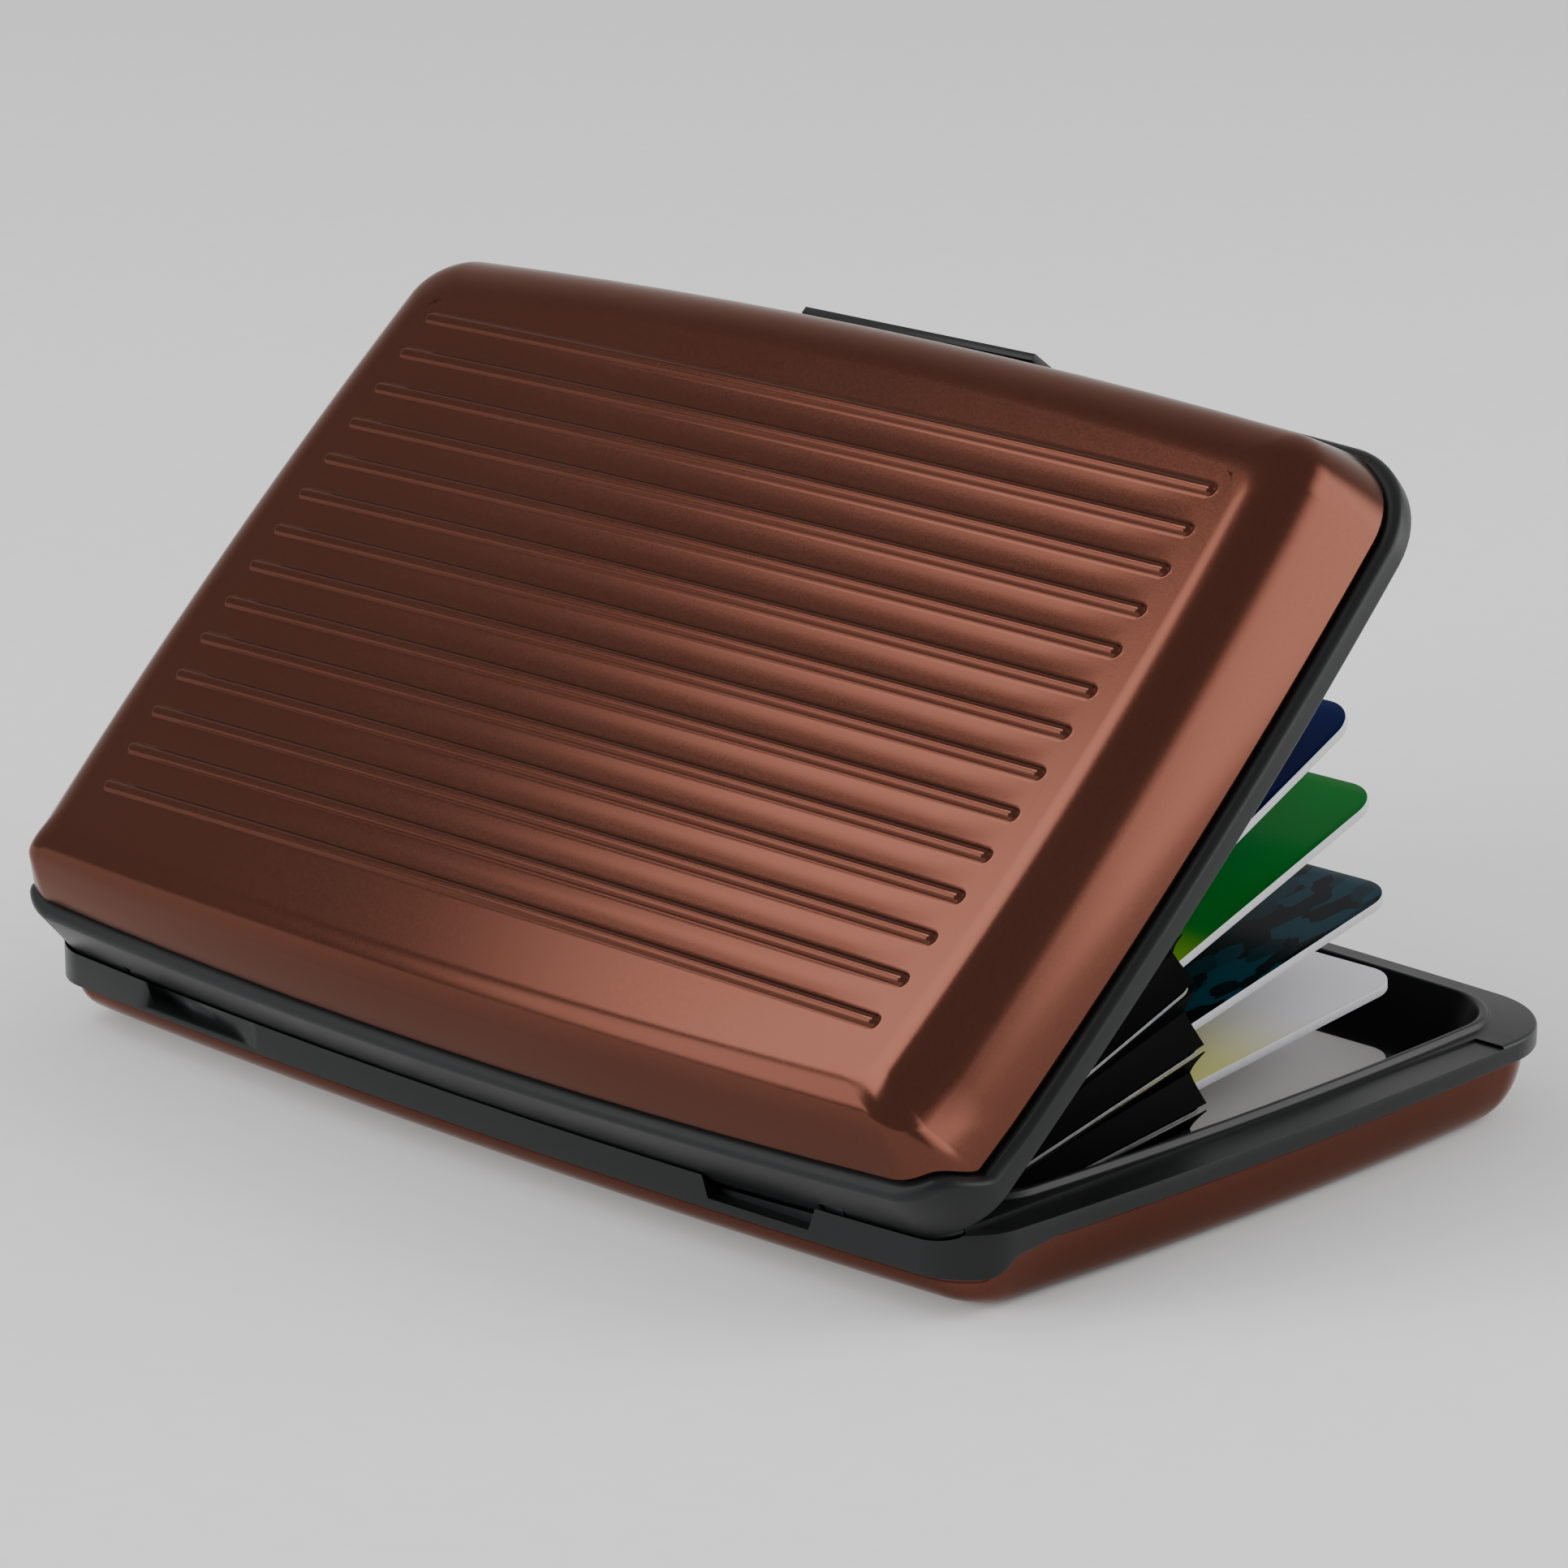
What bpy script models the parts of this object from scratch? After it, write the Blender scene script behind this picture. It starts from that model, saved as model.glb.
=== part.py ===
# Aluminium card wallet, open as photographed: two ribbed skins on plastic frames, a long hinge,
# a clasp, and an accordion of leaves that carries five cards.
# Metres, +Z up. +X runs along the hinge, +Y from the hinge to the clasp.
# The origin is at the middle of the underside.
import math

import bmesh
import bpy
from mathutils import Matrix, Vector

MM = 0.001

# Standard cards, which the case is made round
CARD_LENGTH = 85.6 * MM
CARD_WIDTH = 53.98 * MM
CARD_THICKNESS = 0.76 * MM
CARD_CORNER = 3.18 * MM
CARD_REACH = 8.0 * MM
CARD_END_ROOM = 12.2 * MM
CARD_FRONT_ROOM = 10.36 * MM

# The case's plan: a rounded rectangle whose sides bow out a little
HINGE_INSET = 2.86 * MM
CASE_LENGTH = CARD_LENGTH + 2 * CARD_END_ROOM
CASE_WIDTH = HINGE_INSET + CARD_REACH + CARD_WIDTH + CARD_FRONT_ROOM
CASE_CORNER = 8.0 * MM
SHORT_SIDE_BOW = 1.29 * MM
LONG_SIDE_BOW = 1.7 * MM

# Heights above the underside, with the lid shut
PARTING_HEIGHT = 7.74 * MM
LID_TOP_HEIGHT = 19.4 * MM
PARTING_GAP = 0.2 * MM

# How far the lid stands open
LID_OPEN_ANGLE = math.radians(42.25)

# The skins
SKIN_WALL = 0.55 * MM
SKIN_INSET = 1.13 * MM
SKIN_FIT = 0.3 * MM
SKIN_EDGE_GAP = 0.35 * MM
LOWER_EDGE_HEIGHT = 5.5 * MM
LOWER_EDGE_DROP = 2.0 * MM
LOWER_RAMP_START = 8.1 * MM
LOWER_RAMP_LENGTH = 3.9 * MM
LOWER_BEND = 6.0 * MM
UPPER_EDGE_HEIGHT = 10.45 * MM
UPPER_EDGE_RISE = 3.22 * MM
UPPER_RAMP_START = 11.1 * MM
UPPER_RAMP_LENGTH = 7.3 * MM
UPPER_WALL_LEAN = 1.42 * MM
UPPER_BEND_DROP = 2.8 * MM
UPPER_BEND_REACH = 3.2 * MM
UPPER_CROWN = 0.65 * MM
SKIN_INNER_CORNER = 3.0 * MM

# The pressed ribs
RIB_MARGIN = 12.5815 * MM
RIB_WIDTH = 1.3 * MM
RIB_HEIGHT = 0.45 * MM
RIB_FOOT = 0.2 * MM
RIB_END_INSET = 10.42 * MM
RIB_END_BOW = 0.71 * MM
UPPER_RIB_SHIFT = -0.67 * MM
UPPER_RIB_COUNT = 14
LOWER_RIB_HEIGHT = 0.35 * MM
LOWER_RIB_COUNT = 13

# The base frame and its tray
FLOOR_GAP = 0.1 * MM
TRAY_FLOOR = 0.5 * MM
EDGE_ROUND = 0.3 * MM
LIP_HEIGHT = 0.56 * MM
LIP_WIDTH = 0.6 * MM
LIP_LEAN = 0.15 * MM
TRAY_SIDE_INSET = 4.6 * MM
TRAY_FAR_INSET = 3.3 * MM
TRAY_NEAR_WALL = 1.2 * MM
TRAY_WALL_LEAN = 1.4 * MM
TRAY_FOOT_HEIGHT = 1.1 * MM
TRAY_FOOT_REACH = 1.2 * MM
TRAY_CORNER = 6.0 * MM

# The lid frame
LID_FLOOR = 0.6 * MM
LID_FLOOR_GAP = 0.25 * MM
LID_BAND_BEVEL = 0.35 * MM
LID_BAND_ROUND = 0.25 * MM
LIP_CLEARANCE = 0.35 * MM
LID_WALL_LEAN = 1.6 * MM
LID_FOOT_HEIGHT = 1.6 * MM
LID_FOOT_REACH = 1.9 * MM
LID_NEAR_LEAN = 0.6 * MM

# Hinge knuckles, ears and pins
BARREL_CLEARANCE = 0.3 * MM
SLOT_INSET = 22.2 * MM
SLOT_WIDTH = 12.5 * MM
SLOT_FLOOR = 4.75 * MM
SLOT_DEPTH = 2.0 * MM
SLOT_SLANT = 1.1 * MM
EAR_RADIUS = 1.9 * MM
EAR_THICKNESS = 2.0 * MM
EAR_ROOT = 0.4 * MM
EAR_CLEARANCE = 0.3 * MM
EAR_SWEEP = 1.1 * MM
PIN_RADIUS = 0.8 * MM
PIN_CLEARANCE = 0.12 * MM

# The clasp on the lid's far edge
CLASP_WIDTH = 26.0 * MM
CLASP_CLEARANCE = 0.3 * MM
CLASP_FACE_INSET = 0.05 * MM
CLASP_THICKNESS = 1.3 * MM
CLASP_SKIN_GAP = 0.25 * MM
CLASP_BOTTOM = 6.15 * MM
CLASP_SHOULDER = 10.2 * MM
CLASP_TOP = 12.8 * MM
CLASP_TOP_INSET = 0.5 * MM
CLASP_TOP_THICKNESS = 0.7 * MM
CLASP_PIN_HEIGHT = 9.2 * MM
CLASP_PIN_RADIUS = 0.4 * MM
CLASP_PIN_CLEARANCE = 0.06 * MM
CLASP_PIN_SEAT = 1.5 * MM
NOSE_TIP_HEIGHT = 0.4 * MM
NOSE_TOP_HEIGHT = 0.7 * MM
CATCH_HEIGHT = 0.45 * MM
CATCH_DEPTH = 0.55 * MM
CLASP_RECESS_FLOOR = 5.9 * MM

# The accordion: leaves that fan out about the hinge's axis, with folded gussets between them
LEAF_END_INSET = 10.0 * MM
LEAF_THICKNESS = 0.3 * MM
LEAF_REAR = 5.3 * MM
LEAF_FRONT = 35.0 * MM
LEAF_CORNER = 1.5 * MM
LAYER_GAP = 0.1 * MM
GUSSET_THICKNESS = 0.1 * MM
GUSSET_GAP = 0.15 * MM
GUSSET_FOLD = 1.7 * MM
LEAF_ANGLES = [math.radians(angle) for angle in (1.0, 6.1, 12.1, 19.2, 25.5, 31.1, 36.7, 42.25)]

# One overrun serves all cuts, and points nearer than the weld distance are one point
OVERRUN = 1.0 * MM
WELD_DISTANCE = 0.001 * MM
SMOOTH_ANGLE = math.radians(35)

# Steps round curves
CORNER_STEPS = 6
LONG_STEPS = 6
SHORT_STEPS = 4
BEND_STEPS = 5
RIB_STEPS = 6
RIB_SIDES = 8
RIB_END_STEPS = 6
ROUND_STEPS = 24
PIN_STEPS = 20
CARD_CORNER_STEPS = 4
LEAF_CORNER_STEPS = 2

# Sizes that follow from those above
HALF_LENGTH = CASE_LENGTH / 2
HALF_WIDTH = CASE_WIDTH / 2
RIB_HALF_LENGTH = HALF_LENGTH - RIB_END_INSET
RIB_PITCH = (CASE_WIDTH - 2 * RIB_MARGIN) / (UPPER_RIB_COUNT - 1)
SLOT_CENTRE = HALF_LENGTH - SLOT_INSET
LEAF_LENGTH = CASE_LENGTH - 2 * LEAF_END_INSET
HINGE_Y = HINGE_INSET - HALF_WIDTH
HINGE = Vector((0, HINGE_Y, PARTING_HEIGHT))
LOWER_SKIN_HEIGHT = LOWER_RIB_HEIGHT
TRAY_BOTTOM = LOWER_SKIN_HEIGHT + SKIN_WALL + FLOOR_GAP
TRAY_TOP = TRAY_BOTTOM + TRAY_FLOOR
FRAME_INSET = SKIN_INSET + SKIN_WALL + SKIN_FIT
LID_BEND_HEIGHT = LID_TOP_HEIGHT - UPPER_BEND_DROP
LID_CEILING_TOP = LID_TOP_HEIGHT - SKIN_WALL - LID_FLOOR_GAP
LID_CEILING = LID_CEILING_TOP - LID_FLOOR
EAR_SHIFT = SLOT_WIDTH / 2 + EAR_CLEARANCE + EAR_THICKNESS / 2
PIN_LENGTH = SLOT_WIDTH + 2 * (EAR_CLEARANCE + EAR_THICKNESS)
CLASP_FACE_Y = HALF_WIDTH - CLASP_FACE_INSET
CLASP_BACK_Y = CLASP_FACE_Y - CLASP_THICKNESS
CLASP_PIN_Y = (CLASP_FACE_Y + CLASP_BACK_Y) / 2
RECESS_BACK_Y = CLASP_BACK_Y - CLASP_CLEARANCE
CLASP_PIN = Vector((0, CLASP_PIN_Y, CLASP_PIN_HEIGHT))

COLLECTION_NAME = "card_wallet"
CUTTER_COLLECTION_NAME = "cutters"

SKIN_COLOUR = (0.19, 0.065, 0.042)
PLASTIC_COLOUR = (0.018, 0.018, 0.019)
LEAF_COLOUR = (0.004, 0.004, 0.005)
STEEL_COLOUR = (0.55, 0.55, 0.56)
CARD_COLOURS = (
    (0.62, 0.62, 0.64),
    (0.70, 0.70, 0.72),
    (0.010, 0.030, 0.042),
    (0.012, 0.19, 0.025),
    (0.002, 0.012, 0.085),
)


def clear_scene():
    for old in list(bpy.data.objects):
        bpy.data.objects.remove(old, do_unlink=True)


def new_collection(name):
    collection = bpy.data.collections.new(name)
    bpy.context.scene.collection.children.link(collection)
    return collection


def make_material(name, colour, roughness, metallic):
    material = bpy.data.materials.new(name)
    material.use_nodes = True
    shader = material.node_tree.nodes["Principled BSDF"]
    shader.inputs["Base Color"].default_value = (*colour, 1)
    shader.inputs["Roughness"].default_value = roughness
    shader.inputs["Metallic"].default_value = metallic
    return material


def add_object(name, mesh, collection, pivot=None):
    # Meshes are drawn where they lie with the lid shut, and the pivot then turns them
    piece = bpy.data.objects.new(name, mesh)
    collection.objects.link(piece)
    if pivot is not None:
        piece.parent = pivot
        piece.location = -Vector(pivot["shut_place"])
    return piece


def make_pivot(name, place, angle, collection, parent=None):
    # An empty on a joint's axis, which runs along X
    pivot = bpy.data.objects.new(name, None)
    collection.objects.link(pivot)
    pivot["shut_place"] = place
    pivot.rotation_euler = (angle, 0, 0)
    pivot.location = place
    if parent is not None:
        pivot.parent = parent
        pivot.location = place - Vector(parent["shut_place"])
    return pivot


def mesh_from(name, build):
    mesh = bpy.data.meshes.new(name)
    shape = bmesh.new()
    build(shape)
    bmesh.ops.recalc_face_normals(shape, faces=shape.faces)
    shape.to_mesh(mesh)
    shape.free()
    return mesh


def add_modifier(piece, kind, **settings):
    modifier = piece.modifiers.new(kind.title(), kind)
    for key, value in settings.items():
        setattr(modifier, key, value)
    return modifier


def combine(piece, tool, operation):
    tool.hide_render = True
    tool.display_type = "WIRE"
    add_modifier(piece, "BOOLEAN", operation=operation, object=tool, solver="EXACT")


def smooth(piece, angle=SMOOTH_ANGLE):
    piece.data.shade_smooth()
    piece.data.set_sharp_from_angle(angle=angle)


def ramp(y, start, length):
    # 0 along the sides, 1 at the hinge side, eased between them round the near corners
    share = (start - (y + HALF_WIDTH)) / length
    share = min(max(share, 0), 1)
    return share * share * (3 - 2 * share)


def lower_edge(y):
    return LOWER_EDGE_HEIGHT - LOWER_EDGE_DROP * ramp(y, LOWER_RAMP_START, LOWER_RAMP_LENGTH)


def upper_edge(y):
    return UPPER_EDGE_HEIGHT + UPPER_EDGE_RISE * ramp(y, UPPER_RAMP_START, UPPER_RAMP_LENGTH)


def crown(x):
    return UPPER_CROWN * (1 - min(abs(x) / RIB_HALF_LENGTH, 1) ** 2)


def line_points(start, end, steps):
    return [start.lerp(end, step / steps) for step in range(1, steps)]


def outline(half_x, near, far, corner, bow_x=0.0, bow_near=0.0, bow_far=0.0,
            corner_steps=CORNER_STEPS):
    """A rounded rectangle with bowed sides, from the middle of its +X side round by +Y."""
    box_x = half_x - bow_x
    box_near = near + bow_near
    box_far = far - bow_far
    mid_y = (box_near + box_far) / 2
    half_y = (box_far - box_near) / 2

    def arc(sign_x, sign_y, start):
        centre = Vector((sign_x * (box_x - corner), mid_y + sign_y * (half_y - corner)))
        angles = [start + math.pi / 2 * step / corner_steps for step in range(corner_steps + 1)]
        return [centre + corner * Vector((math.cos(a), math.sin(a))) for a in angles]

    far_right = arc(1, 1, 0)
    far_left = arc(-1, 1, math.pi / 2)
    near_left = arc(-1, -1, math.pi)
    near_right = arc(1, -1, 3 * math.pi / 2)
    half_short = SHORT_STEPS // 2
    right_middle = Vector((box_x, mid_y))
    points = [right_middle]
    points += line_points(right_middle, far_right[0], half_short) + far_right
    points += line_points(far_right[-1], far_left[0], LONG_STEPS) + far_left
    points += line_points(far_left[-1], near_left[0], SHORT_STEPS) + near_left
    points += line_points(near_left[-1], near_right[0], LONG_STEPS) + near_right
    points += line_points(near_right[-1], right_middle, half_short)

    bowed = []
    for point in points:
        across = point.x / box_x
        along = (point.y - mid_y) / half_y
        bow_y = bow_far if along > 0 else bow_near
        x = point.x + bow_x * across * (1 - along ** 2)
        y = point.y + bow_y * along * (1 - across ** 2)
        bowed.append(Vector((x, y)))
    return bowed


def case_ring(height, side, near=None, far=None, corner=None, near_bow=LONG_SIDE_BOW):
    """A ring of the case at some insets from its outline.

    A height that varies is a function of the ring's own point and of the outline's point beside it.
    """
    near = side if near is None else near
    far = side if far is None else far
    corner = max(CASE_CORNER - side, SKIN_INNER_CORNER) if corner is None else corner
    points = outline(
        HALF_LENGTH - side, near - HALF_WIDTH, HALF_WIDTH - far, corner,
        SHORT_SIDE_BOW, near_bow, LONG_SIDE_BOW,
    )
    if callable(height):
        rim = outline(
            HALF_LENGTH, -HALF_WIDTH, HALF_WIDTH, CASE_CORNER,
            SHORT_SIDE_BOW, LONG_SIDE_BOW, LONG_SIDE_BOW,
        )
        return [Vector((p.x, p.y, height(p, beside))) for p, beside in zip(points, rim)]
    return [Vector((p.x, p.y, height)) for p in points]


def ladder_cap(shape, ring):
    # Rungs between points that face each other over the middle line keep a crowned cap smooth
    count = len(ring)
    half = count // 2
    shape.faces.new((ring[0], ring[1], ring[count - 1]))
    for k in range(1, half - 1):
        shape.faces.new((ring[k], ring[k + 1], ring[count - k - 1], ring[count - k]))
    shape.faces.new((ring[half - 1], ring[half], ring[half + 1]))


def loft(name, rings, start_cap, end_cap):
    def build(shape):
        verts = [[shape.verts.new(point) for point in ring] for ring in rings]
        for one, two in zip(verts, verts[1:]):
            for k in range(len(one)):
                after = (k + 1) % len(one)
                shape.faces.new((one[k], one[after], two[after], two[k]))
        if start_cap:
            ladder_cap(shape, verts[0])
        if end_cap:
            ladder_cap(shape, verts[-1])

    return mesh_from(name, build)


def box_mesh(name, low, high, low_slant=0.0):
    # low_slant draws the box in at its foot, along X
    def build(shape):
        bmesh.ops.create_cube(shape, size=1)
        for vert in shape.verts:
            at_foot = vert.co.z < 0
            sign = 1 if vert.co.x > 0 else -1
            for axis in range(3):
                vert.co[axis] = high[axis] if vert.co[axis] > 0 else low[axis]
            if at_foot:
                vert.co.x -= sign * low_slant

    return mesh_from(name, build)


def rod_mesh(name, centre, radius, length, steps=PIN_STEPS):
    def build(shape):
        turn = Matrix.Rotation(math.pi / 2, 4, "Y")
        bmesh.ops.create_cone(
            shape, cap_ends=True, segments=steps, radius1=radius, radius2=radius,
            depth=length, matrix=Matrix.Translation(centre) @ turn,
        )

    return mesh_from(name, build)


def flat_mesh(name, points, thickness, collection):
    """A flat outline with thickness, from a filled 2D curve. It lies on its own XY plane."""
    curve = bpy.data.curves.new(name, "CURVE")
    curve.dimensions = "2D"
    curve.fill_mode = "BOTH"
    curve.extrude = thickness / 2
    spline = curve.splines.new("POLY")
    spline.points.add(len(points) - 1)
    for target, point in zip(spline.points, points):
        target.co = (point.x, point.y, 0, 1)
    spline.use_cyclic_u = True
    guide = bpy.data.objects.new(name + "_curve", curve)
    collection.objects.link(guide)
    bpy.context.view_layer.update()
    mesh = bpy.data.meshes.new_from_object(
        guide.evaluated_get(bpy.context.evaluated_depsgraph_get())
    )
    bpy.data.objects.remove(guide)
    bpy.data.curves.remove(curve)
    shape = bmesh.new()
    shape.from_mesh(mesh)
    bmesh.ops.remove_doubles(shape, verts=shape.verts, dist=WELD_DISTANCE)
    bmesh.ops.recalc_face_normals(shape, faces=shape.faces)
    shape.to_mesh(mesh)
    shape.free()
    mesh.name = name
    return mesh


def hinge_barrel(name, clearance, collection, pivot=None):
    """The case's long edge turned about the hinge's axis: the lid's barrel, or the trough for it."""
    rim = case_ring(0, 0)
    behind = sorted((point for point in rim if point.y < HINGE_Y), key=lambda point: point.x)
    reach = behind[-1].x + clearance
    profile = [Vector((-reach, 0, 0))]
    for point in behind:
        profile.append(Vector((point.x, HINGE_Y - point.y + clearance, 0)))
    profile.append(Vector((reach, 0, 0)))

    def build(shape):
        verts = [shape.verts.new(point) for point in profile]
        for one, two in zip(verts, verts[1:]):
            shape.edges.new((one, two))

    guide = bpy.data.objects.new(name + "_profile", mesh_from(name + "_profile", build))
    collection.objects.link(guide)
    add_modifier(
        guide, "SCREW", axis="X", angle=math.tau, steps=ROUND_STEPS, render_steps=ROUND_STEPS,
        use_merge_vertices=True, merge_threshold=WELD_DISTANCE,
    )
    bpy.context.view_layer.update()
    mesh = bpy.data.meshes.new_from_object(
        guide.evaluated_get(bpy.context.evaluated_depsgraph_get())
    )
    bpy.data.objects.remove(guide)
    shape = bmesh.new()
    shape.from_mesh(mesh)
    bmesh.ops.remove_doubles(shape, verts=shape.verts, dist=WELD_DISTANCE)
    bmesh.ops.recalc_face_normals(shape, faces=shape.faces)
    bmesh.ops.translate(shape, verts=shape.verts, vec=HINGE)
    shape.to_mesh(mesh)
    shape.free()
    return add_object(name, mesh, collection, pivot)


def rib_heights(count, shift):
    middle = (count - 1) / 2
    return [shift + (middle - index) * RIB_PITCH for index in range(count)]


def rib_mesh(name, y, height, surface, up):
    """A half-round bar that follows the skin's surface, with rounded ends."""
    radius = RIB_WIDTH / 2
    crown_radius = radius * math.cos(math.pi / RIB_SIDES)
    span = (UPPER_RIB_COUNT - 1) / 2 * RIB_PITCH
    half = RIB_HALF_LENGTH + RIB_END_BOW * (1 - (y / span) ** 2) - radius

    def build(shape):
        bmesh.ops.create_uvsphere(
            shape, u_segments=RIB_SIDES, v_segments=RIB_END_STEPS, radius=radius
        )
        # Poles along X, and a flat of the section turned to its crown
        turn = Matrix.Rotation(math.pi / RIB_SIDES, 3, "X") @ Matrix.Rotation(math.pi / 2, 3, "Y")
        bmesh.ops.rotate(shape, verts=shape.verts, cent=Vector(), matrix=turn)
        bmesh.ops.bisect_plane(
            shape, geom=shape.verts[:] + shape.edges[:] + shape.faces[:],
            plane_co=Vector(), plane_no=Vector((1, 0, 0)), dist=WELD_DISTANCE,
        )
        for vert in shape.verts:
            if abs(vert.co.x) > WELD_DISTANCE:
                vert.co.x += math.copysign(half, vert.co.x)
        for step in range(1, RIB_STEPS):
            place = half * (2 * step / RIB_STEPS - 1)
            if abs(place) > radius:
                bmesh.ops.bisect_plane(
                    shape, geom=shape.verts[:] + shape.edges[:] + shape.faces[:],
                    plane_co=Vector((place, 0, 0)), plane_no=Vector((1, 0, 0)),
                    dist=WELD_DISTANCE,
                )
        for vert in shape.verts:
            rise = vert.co.z / crown_radius
            vert.co.z = rise * height if rise > 0 else rise * RIB_FOOT
            vert.co.z = surface(vert.co.x) + up * vert.co.z
            vert.co.y += y

    return mesh_from(name, build)


def joined(name, meshes):
    shape = bmesh.new()
    for mesh in meshes:
        shape.from_mesh(mesh)
        bpy.data.meshes.remove(mesh)
    bmesh.ops.recalc_face_normals(shape, faces=shape.faces)
    mesh = bpy.data.meshes.new(name)
    shape.to_mesh(mesh)
    shape.free()
    return mesh


def make_upper_shell(parts, cutters, pivot, material):
    rings = [
        case_ring(lambda p, rim: upper_edge(rim.y), SKIN_INSET),
        case_ring(LID_BEND_HEIGHT, SKIN_INSET + UPPER_WALL_LEAN),
    ]
    bend_start = SKIN_INSET + UPPER_WALL_LEAN
    for step in range(1, BEND_STEPS + 1):
        angle = math.pi / 2 * step / BEND_STEPS
        inset = bend_start + UPPER_BEND_REACH * (1 - math.cos(angle))
        height = LID_BEND_HEIGHT + UPPER_BEND_DROP * math.sin(angle)
        share = math.sin(angle) ** 2
        rings.append(case_ring(lambda p, rim, h=height, s=share: h + s * crown(p.x), inset))
    shell = add_object("upper_shell", loft("upper_shell", rings, False, True), parts, pivot)
    add_modifier(shell, "SOLIDIFY", thickness=SKIN_WALL, offset=-1, use_even_offset=True)
    ribs = [
        rib_mesh("rib", y, RIB_HEIGHT, lambda x: LID_TOP_HEIGHT + crown(x), 1)
        for y in rib_heights(UPPER_RIB_COUNT, UPPER_RIB_SHIFT)
    ]
    rib_set = add_object("upper_ribs", joined("upper_ribs", ribs), cutters, pivot)
    combine(shell, rib_set, "UNION")
    smooth(shell)
    shell.data.materials.append(material)


def make_lower_shell(parts, cutters, material):
    rings = []
    for step in range(BEND_STEPS + 1):
        angle = math.pi / 2 * step / BEND_STEPS
        inset = SKIN_INSET + LOWER_BEND * (1 - math.cos(angle))
        fall = math.sin(angle)
        rings.append(case_ring(
            lambda p, rim, f=fall: lower_edge(rim.y) - f * (lower_edge(rim.y) - LOWER_SKIN_HEIGHT),
            inset,
        ))
    shell = add_object("lower_shell", loft("lower_shell", rings, False, True), parts)
    add_modifier(shell, "SOLIDIFY", thickness=SKIN_WALL, offset=-1, use_even_offset=True)
    ribs = []
    for y in rib_heights(LOWER_RIB_COUNT, 0.0):
        rib = rib_mesh("rib", y, LOWER_RIB_HEIGHT, lambda x: LOWER_SKIN_HEIGHT, -1)
        ribs.append(rib)
    rib_set = add_object("lower_ribs", joined("lower_ribs", ribs), cutters)
    combine(shell, rib_set, "UNION")
    smooth(shell)
    shell.data.materials.append(material)


def ear_places():
    return [
        side * SLOT_CENTRE + end * EAR_SHIFT
        for side in (-1, 1)
        for end in (-1, 1)
    ]


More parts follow.
